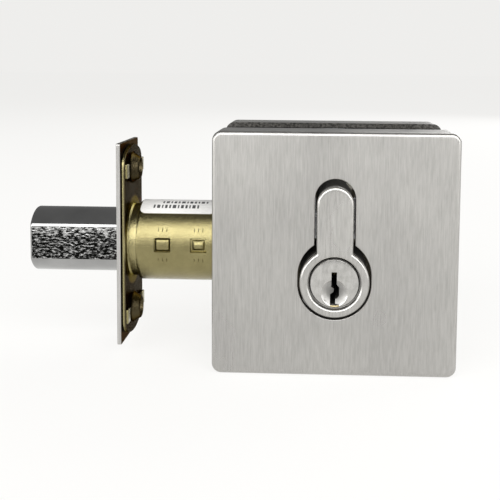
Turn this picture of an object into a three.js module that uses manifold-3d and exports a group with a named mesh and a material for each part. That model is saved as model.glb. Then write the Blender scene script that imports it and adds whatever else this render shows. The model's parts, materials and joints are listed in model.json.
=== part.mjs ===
// Tubular deadbolt with square roses: key cylinder outside, thumbturn inside.
//
// Frame, in millimetres: the origin is where the bolt's axis meets the line through the hub, midway
// between the two roses. -X is the way the bolt shoots, -Y is outside the door, +Z is up.
// The bolt is drawn fully thrown.

import * as THREE from 'three';
import { mergeVertices } from 'three/addons/utils/BufferGeometryUtils.js';
import Module from 'manifold-3d';

const wasm = await Module();
wasm.setup();

// ---------------------------------------------------------------- driving dimensions

const ROSE_SIDE = 65;
const ROSE_DEPTH = 14;
const ROSE_GAP = 24.4;
const ROSE_Z = 1.5;
const ROSE_WALL = 1.5;
const ROSE_FACE = 2.0;
const ROSE_FILLET = 1.3;
const ROSE_CORNER = 2.6;
const TUBE_RELIEF_DEPTH = 0.5;
const TUBE_RELIEF_HALF = 8;

const HUB_Z = -5.6;
const BOLT_THROW = 26;
const CRANK_RADIUS = BOLT_THROW / Math.SQRT2;
const CRANK_PIN_RADIUS = 2;

const BOLT_RADIUS = 9.35;
const BOLT_FLAT = 7.9;
const BOLT_TIP_X = -87;
const BOLT_LENGTH = 38;

const PLATE_FACE_X = -60.8;
const PLATE_HEIGHT = 57.2;
const PLATE_WIDTH = 25.4;
const PLATE_THICK = 1.2;
const PLATE_Z = 0.5;
const BACKING_HEIGHT = 55.2;
const BACKING_WIDTH = 24.8;
const BACKING_THICK = 0.9;
const BACKING_GAP = 0.3;
const BACKING_CORNER = 5;
const SCREW_SPACING = 41.4;
const DIMPLE_DEPTH = 2.2;

const TUBE_RADIUS = 11.6;
const TUBE_WALL = 0.95;
const TUBE_START_X = -55.8;
const TUBE_END_X = -22;
const SLEEVE_WALL = 0.8;
const COLLAR_RADIUS = 10.5;

const CASE_HALF = 20;
const CASE_BOTTOM = -15.2;
const CASE_TOP = 16.5;
const CASE_OUTER_Y = 7.2;
const CASE_SHEET = 1.2;

const CYLINDER_RADIUS = 9.2;
const CYLINDER_SLIM = 9.6;
const CYLINDER_TOP = 19.9;
const CYLINDER_PROUD = 2;
const CYLINDER_LENGTH = 18.8;
const PLUG_RADIUS = 6.6;
const PLUG_BORE = 6.68;
const PIN_RADIUS = 1.15;
const PIN_BORE = 1.25;
const PIN_COUNT = 5;
const PIN_PITCH = 2.9;
const FIRST_PIN = 4.3;
const CHAMBER_TOP = 17.2;

const POST_X = 13;
const POST_Z = 20;
const POST_RADIUS = 2.8;

const GAP = 0.3;
const ROUND = 32;

// the faces that the dimensions above give
const OUTSIDE_BACK = -ROSE_GAP / 2;
const OUTSIDE_FACE = OUTSIDE_BACK - ROSE_DEPTH;
const INSIDE_BACK = ROSE_GAP / 2;
const INSIDE_FACE = INSIDE_BACK + ROSE_DEPTH;
const OUTSIDE_WALL = OUTSIDE_FACE + ROSE_FACE;
const INSIDE_WALL = INSIDE_FACE - ROSE_FACE;
const CYLINDER_FACE = OUTSIDE_FACE - CYLINDER_PROUD;
const CYLINDER_BACK = CYLINDER_FACE + CYLINDER_LENGTH;
const SHEAR_Z = HUB_Z + PLUG_RADIUS;
const CASE_INNER_Y = CASE_OUTER_Y - CASE_SHEET;
const BOLT_BACK_X = BOLT_TIP_X + BOLT_LENGTH;
const BACKING_X = PLATE_FACE_X + PLATE_THICK + BACKING_GAP;
const BACKING_BACK_X = BACKING_X + BACKING_THICK;
const REST_PIN_X = -BOLT_THROW / 2;
const REST_PIN_Z = HUB_Z + CRANK_RADIUS / Math.SQRT2;

// ---------------------------------------------------------------- solids and where they lie

function asSolid(geometry) {
  const bare = geometry.clone();
  bare.deleteAttribute('normal');
  bare.deleteAttribute('uv');
  const merged = mergeVertices(bare, 1e-4);
  return new wasm.Manifold(new wasm.Mesh({
    numProp: 3,
    vertProperties: new Float32Array(merged.attributes.position.array),
    triVerts: new Uint32Array(merged.index.array),
  }));
}

function asGeometry(solid) {
  const mesh = solid.getMesh();
  const geometry = new THREE.BufferGeometry();
  geometry.setAttribute('position', new THREE.BufferAttribute(mesh.vertProperties, 3));
  geometry.setIndex(new THREE.BufferAttribute(mesh.triVerts, 1));
  geometry.computeVertexNormals();
  return geometry;
}

const cut = (base, ...tools) => asGeometry(
  tools.reduce((left, tool) => left.subtract(asSolid(tool)), asSolid(base)),
);

const join = (base, ...others) => asGeometry(
  others.reduce((sum, other) => sum.add(asSolid(other)), asSolid(base)),
);

const keepInside = (base, limit) => asGeometry(asSolid(base).intersect(asSolid(limit)));

// A box between two corners.
function box(x0, x1, y0, y1, z0, z1) {
  const geometry = new THREE.BoxGeometry(x1 - x0, y1 - y0, z1 - z0);
  return geometry.translate((x0 + x1) / 2, (y0 + y1) / 2, (z0 + z1) / 2);
}

// A solid turned about +Y at (x, z) from [radius, y] points; it starts and ends on the axis or is a ring.
function turnedY(points, x, z, segments = ROUND) {
  const profile = points.map(([radius, y]) => new THREE.Vector2(radius, y));
  return new THREE.LatheGeometry(profile, segments).translate(x, 0, z);
}

const rodY = (radius, y0, y1, x, z, segments) =>
  turnedY([[0, y0], [radius, y0], [radius, y1], [0, y1]], x, z, segments);

const ringY = (inner, outer, y0, y1, x, z, segments) =>
  turnedY([[inner, y0], [outer, y0], [outer, y1], [inner, y1], [inner, y0]], x, z, segments);

// The same, about +X through the bolt's axis or at (y, z).
function turnedX(points, y = 0, z = 0, segments = ROUND) {
  return turnedY(points, 0, 0, segments).rotateZ(-Math.PI / 2).translate(0, y, z);
}

const rodX = (radius, x0, x1, y, z, segments) =>
  turnedX([[0, x0], [radius, x0], [radius, x1], [0, x1]], y, z, segments);

const ringX = (inner, outer, x0, x1, y, z, segments) =>
  turnedX([[inner, x0], [outer, x0], [outer, x1], [inner, x1], [inner, x0]], y, z, segments);

// The same, about +Z at (x, y).
function turnedZ(points, x, y, segments = ROUND) {
  return turnedY(points, 0, 0, segments).rotateX(Math.PI / 2).translate(x, y, 0);
}

// An outline in X and Z, carried along Y.
function plateXZ(shape, y0, y1, curveSegments = 6) {
  const geometry = new THREE.ExtrudeGeometry(shape, { depth: y1 - y0, bevelEnabled: false, curveSegments });
  return geometry.rotateX(Math.PI / 2).translate(0, y1, 0);
}

// An outline in Y and Z, carried along X.
function plateYZ(shape, x0, x1, curveSegments = 6) {
  const geometry = new THREE.ExtrudeGeometry(shape, { depth: x1 - x0, bevelEnabled: false, curveSegments });
  const turn = new THREE.Matrix4().makeBasis(
    new THREE.Vector3(0, 1, 0),
    new THREE.Vector3(0, 0, 1),
    new THREE.Vector3(1, 0, 0),
  );
  return geometry.applyMatrix4(turn).translate(x0, 0, 0);
}

function outline(points) {
  return new THREE.Shape(points.map(([a, b]) => new THREE.Vector2(a, b)));
}

function roundedRectangle(width, height, radius, a = 0, b = 0) {
  const shape = new THREE.Shape();
  const right = width / 2 - radius;
  const top = height / 2 - radius;
  shape.absarc(a + right, b + top, radius, 0, Math.PI / 2);
  shape.absarc(a - right, b + top, radius, Math.PI / 2, Math.PI);
  shape.absarc(a - right, b - top, radius, Math.PI, 1.5 * Math.PI);
  shape.absarc(a + right, b - top, radius, 1.5 * Math.PI, 2 * Math.PI);
  return shape;
}

const OPENING_RADIUS = 9.65;
const OPENING_SLIM = 10.7;
const OPENING_TOP = 21.7;
const OPENING_BARREL_Z = HUB_Z - 0.5;
const OPENING_LIFT = 2.2;

// The cylinder's outline: a round barrel with a slim pin housing that rises from it to a round top.
// The barrel can be stretched upwards by lift.
function cylinderOutline(barrel, slim, top, barrelZ = HUB_Z, lift = 0) {
  const half = slim / 2;
  const meet = Math.asin(half / barrel);
  const shape = new THREE.Shape();
  shape.absarc(0, top - half, half, 0, Math.PI);
  if (lift > 0) {
    shape.absarc(0, barrelZ + lift, barrel, Math.PI / 2 + meet, Math.PI);
    shape.absarc(0, barrelZ, barrel, Math.PI, 2 * Math.PI);
    shape.absarc(0, barrelZ + lift, barrel, 0, Math.PI / 2 - meet);
  } else {
    shape.absarc(0, barrelZ, barrel, Math.PI / 2 + meet, Math.PI / 2 - meet + 2 * Math.PI);
  }
  return shape;
}

// The bolt's section: a round bar with two flats.
function boltOutline(radius, flat) {
  const meet = Math.acos(flat / radius);
  const shape = new THREE.Shape();
  shape.absarc(0, 0, radius, meet, Math.PI - meet);
  shape.absarc(0, 0, radius, Math.PI + meet, 2 * Math.PI - meet);
  return shape;
}

// ---------------------------------------------------------------- materials

function metal(color, roughness) {
  return new THREE.MeshStandardMaterial({ color, roughness, metalness: 0.9 });
}

const satinNickel = () => metal(0xc6c3bd, 0.38);
const chrome = () => metal(0xb9bbbd, 0.1);
const yellowZinc = () => metal(0xb5a763, 0.32);
const darkZinc = () => metal(0x6f6552, 0.45);
const steel = () => metal(0x9a9c9e, 0.4);
const brass = () => metal(0xb08d4c, 0.3);
const springSteel = () => metal(0x7f8488, 0.35);

function paper() {
  return new THREE.MeshStandardMaterial({ color: 0xc9c7c2, roughness: 0.5, metalness: 0 });
}

function nylon() {
  return new THREE.MeshStandardMaterial({ color: 0x2a2a2b, roughness: 0.6, metalness: 0 });
}

const lock = new THREE.Group();

function addPiece(name, geometry, material) {
  const mesh = new THREE.Mesh(geometry, material);
  mesh.name = name;
  lock.add(mesh);
}

// ---------------------------------------------------------------- the roses

// A hollow square cover, its face on -Y, with a rounded face edge and its back open.
function roseShell(faceY, backY) {
  const faceSide = ROSE_SIDE - 2 * ROSE_FILLET;
  const shape = roundedRectangle(faceSide, faceSide, ROSE_CORNER - ROSE_FILLET);
  const block = new THREE.ExtrudeGeometry(shape, {
    depth: ROSE_DEPTH,
    bevelThickness: ROSE_FILLET,
    bevelSize: ROSE_FILLET,
    bevelSegments: 3,
    curveSegments: 3,
  });
  block.rotateX(Math.PI / 2).translate(0, faceY + ROSE_FILLET + ROSE_DEPTH, ROSE_Z);
  const span = ROSE_SIDE;
  const kept = keepInside(block, box(-span, span, faceY, backY, ROSE_Z - span, ROSE_Z + span));
  const hollowSide = ROSE_SIDE - 2 * ROSE_WALL;
  const hollowOutline = roundedRectangle(hollowSide, hollowSide, 1.5, 0, ROSE_Z);
  const hollow = plateXZ(hollowOutline, faceY + ROSE_FACE, backY + 1, 3);
  return cut(kept, hollow);
}

// The shallow relief in a rose's rim where the latch tube passes it.
function tubeRelief(rimY, way) {
  const deep = rimY - way * TUBE_RELIEF_DEPTH;
  const out = rimY + way;
  return box(-ROSE_SIDE / 2 - 1, -ROSE_SIDE / 2 + ROSE_WALL + 1, Math.min(deep, out), Math.max(deep, out),
    -TUBE_RELIEF_HALF, TUBE_RELIEF_HALF);
}

const RETAINER_Y = OUTSIDE_FACE + 8.7;
const RETAINER_THICK = 1.5;
const RETAINER_SCREW_X = 13.5;
const RETAINER_SCREW_Z = 7;
const POST_ENDS = [[-POST_X, POST_Z, 'upper'], [POST_X, -POST_Z, 'lower']];
const POST_SEAT_Y = OUTSIDE_WALL + 5;

function exteriorRose() {
  const openingOutline = cylinderOutline(
    OPENING_RADIUS, OPENING_SLIM, OPENING_TOP, OPENING_BARREL_Z, OPENING_LIFT,
  );
  const opening = plateXZ(openingOutline, OUTSIDE_FACE - 1, OUTSIDE_WALL + 1, 16);
  const shell = cut(roseShell(OUTSIDE_FACE, OUTSIDE_BACK), opening, tubeRelief(OUTSIDE_BACK, 1));
  const bosses = [];
  const holes = [];
  for (const side of [-1, 1]) {
    bosses.push(rodY(3.2, OUTSIDE_WALL - 0.5, RETAINER_Y, side * RETAINER_SCREW_X, RETAINER_SCREW_Z, 16));
    holes.push(rodY(1.4, RETAINER_Y - 5.5, RETAINER_Y + 1, side * RETAINER_SCREW_X, RETAINER_SCREW_Z, 12));
  }
  for (const [x, z] of POST_ENDS) {
    bosses.push(rodY(4.2, OUTSIDE_WALL - 0.5, POST_SEAT_Y, x, z, 16));
    holes.push(rodY(2.0, POST_SEAT_Y - 5, POST_SEAT_Y + 1, x, z, 12));
  }
  return cut(join(shell, ...bosses), ...holes);
}

const TURN_NECK_RADIUS = 6.5;
const GRUB_Y = INSIDE_BACK + 3.6;
const ROSE_BOTTOM = ROSE_Z - ROSE_SIDE / 2;

function interiorRose() {
  const shell = roseShell(-INSIDE_FACE, -INSIDE_BACK).rotateZ(Math.PI);
  const neckHole = rodY(TURN_NECK_RADIUS + 0.2, INSIDE_WALL - 1, INSIDE_FACE + 1, 0, HUB_Z);
  const boss = box(-3.5, 3.5, GRUB_Y - 2.6, GRUB_Y + 2.6, ROSE_BOTTOM + 0.5, ROSE_BOTTOM + 2.8);
  const grubHole = turnedZ([
    [0, ROSE_BOTTOM - 1], [1.6, ROSE_BOTTOM - 1], [1.6, ROSE_BOTTOM + 5], [0, ROSE_BOTTOM + 5],
  ], 0, GRUB_Y, 12);
  return cut(join(cut(shell, neckHole), boss), grubHole, tubeRelief(INSIDE_BACK, -1));
}

addPiece('exterior_rose', exteriorRose(), satinNickel());
addPiece('interior_rose', interiorRose(), satinNickel());

// ---------------------------------------------------------------- cylinder fixing

// The steel fork that slides into the cylinder's side grooves and holds it against the rose.
const GROOVE_DEPTH = 0.9;
const RETAINER_TOP = 12;
const RETAINER_BOTTOM = 4.4;

function cylinderRetainer() {
  const mouth = CYLINDER_SLIM / 2 - GROOVE_DEPTH + 0.15;
  const shape = outline([
    [-17.5, RETAINER_BOTTOM], [-mouth, RETAINER_BOTTOM], [-mouth, RETAINER_TOP], [mouth, RETAINER_TOP],
    [mouth, RETAINER_BOTTOM], [17.5, RETAINER_BOTTOM], [17.5, 9.6], [9, 15.4], [-9, 15.4], [-17.5, 9.6],
  ]);
  const blank = plateXZ(shape, RETAINER_Y, RETAINER_Y + RETAINER_THICK);
  const upperWeb = box(-mouth - 1, mouth + 1, RETAINER_Y - 1, RETAINER_Y + 3, RETAINER_TOP - 0.1, 16);
  const holes = [-1, 1].map((side) =>
    rodY(1.7, RETAINER_Y - 1, RETAINER_Y + 3, side * RETAINER_SCREW_X, RETAINER_SCREW_Z, 12));
  return cut(blank, upperWeb, ...holes);
}

// A pan-head screw along Y: its head is at headY and its shank runs toward shankEnd.
function panScrewY(x, z, headY, shankEnd, shankRadius, headRadius, headHeight) {
  const way = Math.sign(shankEnd - headY);
  const top = headY - way * headHeight;
  const profile = [
    [0, shankEnd], [shankRadius * 0.7, shankEnd], [shankRadius, shankEnd - way * 0.6], [shankRadius, headY],
    [headRadius, headY], [headRadius, headY - way * headHeight * 0.5], [headRadius * 0.7, top], [0, top],
  ];
  const screw = turnedY(way > 0 ? profile.reverse() : profile, x, z, 14);
  const slotA = box(x - headRadius * 0.62, x + headRadius * 0.62, top - 0.8, top + 0.8, z - 0.3, z + 0.3);
  const slotB = box(x - 0.3, x + 0.3, top - 0.8, top + 0.8, z - headRadius * 0.62, z + headRadius * 0.62);
  return cut(screw, slotA, slotB);
}

// Each half of the fork is its own jaw, held by its own screw.
function retainerJaw(side) {
  const half = side < 0 ? box(-30, 0, -40, 0, -40, 40) : box(0, 30, -40, 0, -40, 40);
  return keepInside(cylinderRetainer(), half);
}

for (const [side, name] of [[-1, 'left'], [1, 'right']]) {
  addPiece(`cylinder_clamp_${name}`, retainerJaw(side), steel());
  const x = side * RETAINER_SCREW_X;
  const headY = RETAINER_Y + RETAINER_THICK;
  const screw = panScrewY(x, RETAINER_SCREW_Z, headY, RETAINER_Y - 4.6, 1.35, 2.7, 1.6);
  addPiece(`clamp_screw_${name}`, screw, steel());
}

// ---------------------------------------------------------------- key cylinder

const pinY = (index) => CYLINDER_FACE + FIRST_PIN + index * PIN_PITCH;
const COVER_HALF = 1.4;

function cylinderBody() {
  const shape = cylinderOutline(CYLINDER_RADIUS - 0.5, CYLINDER_SLIM - 1, CYLINDER_TOP - 0.5);
  const block = new THREE.ExtrudeGeometry(shape, {
    depth: CYLINDER_LENGTH,
    bevelThickness: 0.5,
    bevelSize: 0.5,
    bevelSegments: 2,
    curveSegments: 12,
  });
  block.rotateX(Math.PI / 2).translate(0, CYLINDER_FACE + 0.5 + CYLINDER_LENGTH, 0);
  const body = keepInside(block, box(-20, 20, CYLINDER_FACE, CYLINDER_BACK, -30, 30));
  const bore = turnedY([
    [0, CYLINDER_FACE - 1], [7.6, CYLINDER_FACE - 1], [7.35, CYLINDER_FACE], [6.95, CYLINDER_FACE + 0.7],
    [PLUG_BORE, CYLINDER_FACE + 0.9], [PLUG_BORE, CYLINDER_BACK + 1], [0, CYLINDER_BACK + 1],
  ], 0, HUB_Z);
  const tools = [bore];
  for (let index = 0; index < PIN_COUNT; index += 1) {
    const profile = [[0, HUB_Z], [PIN_BORE, HUB_Z], [PIN_BORE, CHAMBER_TOP], [0, CHAMBER_TOP]];
    tools.push(turnedZ(profile, 0, pinY(index), 12));
  }
  const coverSlot = box(
    -COVER_HALF, COVER_HALF, pinY(0) - 1.8, pinY(PIN_COUNT - 1) + 1.8, CHAMBER_TOP - 0.1, 25,
  );
  const grooveY = RETAINER_Y - 0.1;
  for (const side of [-1, 1]) {
    const inner = side * (CYLINDER_SLIM / 2 - GROOVE_DEPTH);
    const outer = side * CYLINDER_SLIM;
    const low = Math.min(inner, outer);
    const high = Math.max(inner, outer);
    tools.push(box(low, high, grooveY, grooveY + RETAINER_THICK + 0.2, RETAINER_BOTTOM - 0.2, 15.8));
  }
  return cut(body, ...tools, coverSlot);
}

const TAIL_HALF_WIDTH = 3.7;
const TAIL_HALF_THICK = 1.2;
const PLUG_FACE = CYLINDER_FACE + 0.3;
const PLUG_BACK = CYLINDER_BACK + 1.2;
const CIRCLIP_Y = CYLINDER_BACK + 0.15;
const CIRCLIP_THICK = 0.6;

// The keyway as seen from outside, about the plug's own centre.
const KEYWAY = [
  [-0.78, 3.25], [-0.78, -0.4], [-0.95, -0.9], [-0.1, -1.5], [-0.1, -2.4], [-1.1, -2.9], [-1.1, -5.1],
  [1.3, -5.1], [0.35, -3.9], [1.3, -3.75], [1.3, -0.9], [0.63, -0.4], [0.63, 3.25],
];

function plug() {
  const blank = turnedY([
    [0, PLUG_FACE], [PLUG_RADIUS - 0.3, PLUG_FACE], [PLUG_RADIUS, PLUG_FACE + 0.3],
    [PLUG_RADIUS, CIRCLIP_Y], [PLUG_RADIUS - 0.8, CIRCLIP_Y],
    [PLUG_RADIUS - 0.8, CIRCLIP_Y + CIRCLIP_THICK + 0.1], [PLUG_RADIUS, CIRCLIP_Y + CIRCLIP_THICK + 0.1],
    [PLUG_RADIUS, PLUG_BACK], [0, PLUG_BACK],
  ], 0, HUB_Z);
  const keyway = plateXZ(outline(KEYWAY), PLUG_FACE - 1, CYLINDER_BACK - 1).translate(0, 0, HUB_Z);
  const dish = turnedY([
    [0, PLUG_FACE - 1], [4.2, PLUG_FACE - 1], [3.52, PLUG_FACE], [0, PLUG_FACE + 2.4],
  ], 0, HUB_Z - 2.4);
  const tools = [keyway, dish];
  for (let index = 0; index < PIN_COUNT; index += 1) {
    tools.push(turnedZ([
      [0, HUB_Z], [PIN_BORE, HUB_Z], [PIN_BORE, SHEAR_Z + 1], [0, SHEAR_Z + 1],
    ], 0, pinY(index), 12));
  }
  const half = TAIL_HALF_WIDTH + 0.15;
  const thick = TAIL_HALF_THICK + 0.15;
  tools.push(box(-half, half, CYLINDER_BACK - 2.2, PLUG_BACK + 1, HUB_Z - thick, HUB_Z + thick));
  return cut(blank, ...tools);
}

function circlip(outer, inner, y, thick, slot) {
  const ring = ringY(inner, outer, y, y + thick, 0, HUB_Z, 24);
  return cut(ring, box(-slot, slot, y - 1, y + thick + 1, HUB_Z, HUB_Z + outer + 1));
}

// A key pin: its flat end is at the shear line and its pointed end hangs in the keyway.
function keyPin(index) {
  const tipZ = HUB_Z + [1.5, 2.4, 1.2, 2.0, 1.7][index];
  const topZ = SHEAR_Z - 0.15;
  const profile = [[0, tipZ], [0.35, tipZ], [PIN_RADIUS, tipZ + 0.9], [PIN_RADIUS, topZ], [0, topZ]];
  return turnedZ(profile, 0, pinY(index), 12);
}

const DRIVER_TOP = SHEAR_Z + 4.2;

function driverPin(index) {
  const low = SHEAR_Z + 0.1;
  const waist = PIN_RADIUS - 0.25;
  const profile = [
    [0, low], [PIN_RADIUS, low], [PIN_RADIUS, low + 0.8], [waist, low + 1.2],
    [waist, DRIVER_TOP - 1.3], [PIN_RADIUS, DRIVER_TOP - 0.9], [PIN_RADIUS, DRIVER_TOP], [0, DRIVER_TOP],
  ];
  return turnedZ(profile, 0, pinY(index), 12);
}

// A coil spring from the driver pin up to the chamber cover.
function pinSpring(index) {
  const turns = 5;
  const stepsPerTurn = 7;
  const low = DRIVER_TOP + 0.25;
  const high = CHAMBER_TOP - 0.35;
  const points = [];
  for (let step = 0; step <= turns * stepsPerTurn; step += 1) {
    const angle = (step / stepsPerTurn) * 2 * Math.PI;
    const height = low + (high - low) * step / (turns * stepsPerTurn);
    points.push(new THREE.Vector3(0.85 * Math.cos(angle), 0.85 * Math.sin(angle), height));
  }
  const wire = new THREE.Shape().absarc(0, 0, 0.16, 0, 2 * Math.PI);
  const coil = new THREE.ExtrudeGeometry(wire, {
    steps: turns * stepsPerTurn,
    curveSegments: 2,
    extrudePath: new THREE.CatmullRomCurve3(points),
  });
  return coil.translate(0, pinY(index), 0);
}

function chamberCover() {
  const y0 = pinY(0) - 1.7;
  const y1 = pinY(PIN_COUNT - 1) + 1.7;
  return box(-COVER_HALF + 0.05, COVER_HALF - 0.05, y0, y1, CHAMBER_TOP, CHAMBER_TOP + 1.3);
}

function tailpiece() {
  const blade = box(
    -TAIL_HALF_WIDTH, TAIL_HALF_WIDTH, CYLINDER_BACK - 2.0, -0.6,
    HUB_Z - TAIL_HALF_THICK, HUB_Z + TAIL_HALF_THICK,
  );
  const notches = [-1, 1].map((side) => {
    const inner = side * (TAIL_HALF_WIDTH - 0.7);
    const outer = side * (TAIL_HALF_WIDTH + 1);
    const [x0, x1] = [Math.min(inner, outer), Math.max(inner, outer)];
    return box(x0, x1, PLUG_BACK + 0.2, PLUG_BACK + 1.0, HUB_Z - 3, HUB_Z + 3);
  });
  return cut(blade, ...notches);
}

addPiece('cylinder_body', cylinderBody(), satinNickel());
addPiece('chamber_cover', chamberCover(), brass());
addPiece('plug', plug(), satinNickel());
const plugCirclip = circlip(7.6, PLUG_RADIUS - 0.7, CIRCLIP_Y + 0.05, CIRCLIP_THICK, 2.2);
addPiece('plug_circlip', plugCirclip, springSteel());
addPiece('tailpiece', tailpiece(), steel());
for (let index = 0; index < PIN_COUNT; index += 1) {
  addPiece(`key_pin_${index + 1}`, keyPin(index), brass());
  addPiece(`driver_pin_${index + 1}`, driverPin(index), brass());
  addPiece(`pin_spring_${index + 1}`, pinSpring(index), springSteel());
}

// ---------------------------------------------------------------- faceplate, backing plate, tube

const DIMPLE_MOUTH = 4.3;
const DIMPLE_THROAT = 3.0;

function faceplate() {
  const x0 = PLATE_FACE_X;
  const x1 = x0 + PLATE_THICK;
  const half = PLATE_HEIGHT / 2;
  const blank = box(x0, x1, -PLATE_WIDTH / 2, PLATE_WIDTH / 2, PLATE_Z - half, PLATE_Z + half);
  const tools = [plateYZ(boltOutline(BOLT_RADIUS + GAP, BOLT_FLAT + GAP), x0 - 1, x1 + 1, 12)];
  for (const side of [-1, 1]) {
    const z = PLATE_Z + side * SCREW_SPACING / 2;
    tools.push(turnedX([
      [0, x0 - 1], [5.2, x0 - 1], [4.6, x0], [3.7, x1], [3.7, x1 + 1], [0, x1 + 1],
    ], 0, z, 20));
  }
  return cut(blank, ...tools);
}

// The backing plate: its screw holes are pressed into cones, and its middle is drawn out into a collar.
function backingPlate() {
  const shape = roundedRectangle(BACKING_WIDTH, BACKING_HEIGHT, BACKING_CORNER, 0, PLATE_Z);
  const blank = plateYZ(shape, BACKING_X, BACKING_BACK_X);
  const collar = rodX(COLLAR_RADIUS, BACKING_X, TUBE_START_X, 0, 0);
  const outer = [collar];
  const boltClearance = boltOutline(BOLT_RADIUS + GAP, BOLT_FLAT + GAP);
  const inner = [plateYZ(boltClearance, BACKING_X - 1, TUBE_START_X + 1, 12)];
  for (const side of [-1, 1]) {
    const z = PLATE_Z + side * SCREW_SPACING / 2;
    const back = BACKING_BACK_X + DIMPLE_DEPTH;
    outer.push(turnedX([
      [0, BACKING_X], [DIMPLE_MOUTH, BACKING_X], [DIMPLE_MOUTH, BACKING_BACK_X],
      [DIMPLE_THROAT + 0.7, back - 0.4], [DIMPLE_THROAT, back], [0, back],
    ], 0, z, 20));
    inner.push(turnedX([
      [0, BACKING_X - 1], [DIMPLE_MOUTH - 0.7, BACKING_X - 1], [DIMPLE_MOUTH - 0.7, BACKING_X],
      [DIMPLE_THROAT - 0.5, back - 0.6], [DIMPLE_THROAT - 0.5, back + 1], [0, back + 1],
    ], 0, z, 20));
  }
  return cut(join(blank, ...outer), ...inner);
}

// Small tabs that are folded over the backing plate's long edges and hold the faceplate to it.
function faceplateTab(side, end) {
  const z = PLATE_Z + end * SCREW_SPACING / 2;
  const inner = side * 8.9;
  const outer = side * (BACKING_WIDTH / 2 - 0.3);
  const [y0, y1] = [Math.min(inner, outer), Math.max(inner, outer)];
  return box(BACKING_BACK_X, BACKING_BACK_X + 0.7, y0, y1, z - 2, z + 2);
}

const WINDOW_Z = 0.5;
const WINDOW_HALF_HEIGHT = 2.05;
const WINDOWS = [[-50.5, -45.8], [-40.3, -35.6]];

const windowPunches = WINDOWS.map(([x0, x1]) => box(
  x0, x1, -TUBE_RADIUS - 1, -6, WINDOW_Z - WINDOW_HALF_HEIGHT, WINDOW_Z + WINDOW_HALF_HEIGHT,
));

const SLEEVE_OUTER = TUBE_RADIUS - TUBE_WALL - 0.1;
const SLEEVE_INNER = SLEEVE_OUTER - SLEEVE_WALL;

function latchTube() {
  const wall = turnedX([
    [TUBE_RADIUS - TUBE_WALL, TUBE_START_X], [TUBE_RADIUS - 0.35, TUBE_START_X],
    [TUBE_RADIUS, TUBE_START_X + 0.5], [TUBE_RADIUS, TUBE_END_X],
    [TUBE_RADIUS - TUBE_WALL, TUBE_END_X], [TUBE_RADIUS - TUBE_WALL, TUBE_START_X],
  ], 0, 0, 40);
  return cut(wall, ...windowPunches);
}

// The inner sleeve carries the case; its two pressed lugs stand in the tube's windows.
function innerSleeve() {
  const wall = ringX(SLEEVE_INNER, SLEEVE_OUTER, TUBE_START_X + 0.3, -CASE_HALF - 0.05, 0, 0, 40);
  const heights = [0.75, 0.45];
  const lugs = WINDOWS.map(([x0, x1], index) => {
    const inset = [0.15, 0.7][index];
    const lug = box(
      x0 + inset, x1 - inset, -SLEEVE_OUTER - heights[index], -SLEEVE_OUTER + 0.4,
      WINDOW_Z - WINDOW_HALF_HEIGHT + inset, WINDOW_Z + WINDOW_HALF_HEIGHT - inset,
    );
    return lug;
  });
  return join(wall, ...lugs);
}

// The paper label, wrapped over the top of the tube.
const LABEL_FROM = 50;
const LABEL_TO = 130;

function tubeLabel() {
  const inner = TUBE_RADIUS + 0.02;
  const ring = ringX(inner, inner + 0.12, TUBE_START_X + 0.6, -33.4, 0, 0, 72);
  const reach = 20;
  const wedge = outline([[0, 0], ...[LABEL_FROM, 70, 90, 110, LABEL_TO].map((degrees) => {
    const angle = (degrees * Math.PI) / 180;
    return [reach * -Math.cos(angle), reach * Math.sin(angle)];
  }).reverse()]);
  return keepInside(ring, plateYZ(wedge, TUBE_START_X, -30));
}

addPiece('faceplate', faceplate(), satinNickel());
addPiece('backing_plate', backingPlate(), yellowZinc());
for (const [side, sideName] of [[-1, 'front'], [1, 'rear']]) {
  for (const [end, endName] of [[-1, 'lower'], [1, 'upper']]) {
    addPiece(`faceplate_tab_${sideName}_${endName}`, faceplateTab(side, end), yellowZinc());
  }
}
addPiece('latch_tube', latchTube(), yellowZinc());
addPiece('inner_sleeve', innerSleeve(), yellowZinc());
addPiece('tube_label', tubeLabel(), paper());

// ---------------------------------------------------------------- bolt, tail and its pins

const HEAD_ROUND = 0.8;

function bolt() {
  const shape = boltOutline(BOLT_RADIUS - HEAD_ROUND, BOLT_FLAT - HEAD_ROUND);
  const block = new THREE.ExtrudeGeometry(shape, {
    depth: BOLT_LENGTH,
    bevelThickness: HEAD_ROUND,
    bevelSize: HEAD_ROUND,
    bevelSegments: 3,
    curveSegments: 12,
  });
  block.applyMatrix4(new THREE.Matrix4().makeBasis(
    new THREE.Vector3(0, 1, 0),
    new THREE.Vector3(0, 0, 1),
    new THREE.Vector3(1, 0, 0),
  ));
  block.translate(BOLT_TIP_X + HEAD_ROUND, 0, 0);
  const bar = keepInside(block, box(BOLT_TIP_X, BOLT_BACK_X, -20, 20, -20, 20));
  const tailSlot = box(BOLT_BACK_X - 9, BOLT_BACK_X + 1, -1.1, 1.1, -5.2, 7.2);
  const hardenedBore = rodX(3.1, BOLT_TIP_X + 5, BOLT_BACK_X - 8.9, 0, 0, 16);
  const rivetBore = rodY(1.5, -12, 12, BOLT_BACK_X - 4.5, 1.5, 14);
  return cut(bar, tailSlot, hardenedBore, rivetBore);
}

const TAIL_Y = 1;
const SLOT_HALF = CRANK_PIN_RADIUS + 0.65;
const PRONG = 2.5;
const PRONG_TOP = 14.2;
const SLOT_BOTTOM = REST_PIN_Z - CRANK_PIN_RADIUS - 0.5;
const TAIL_LOW = 1.7;

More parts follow.
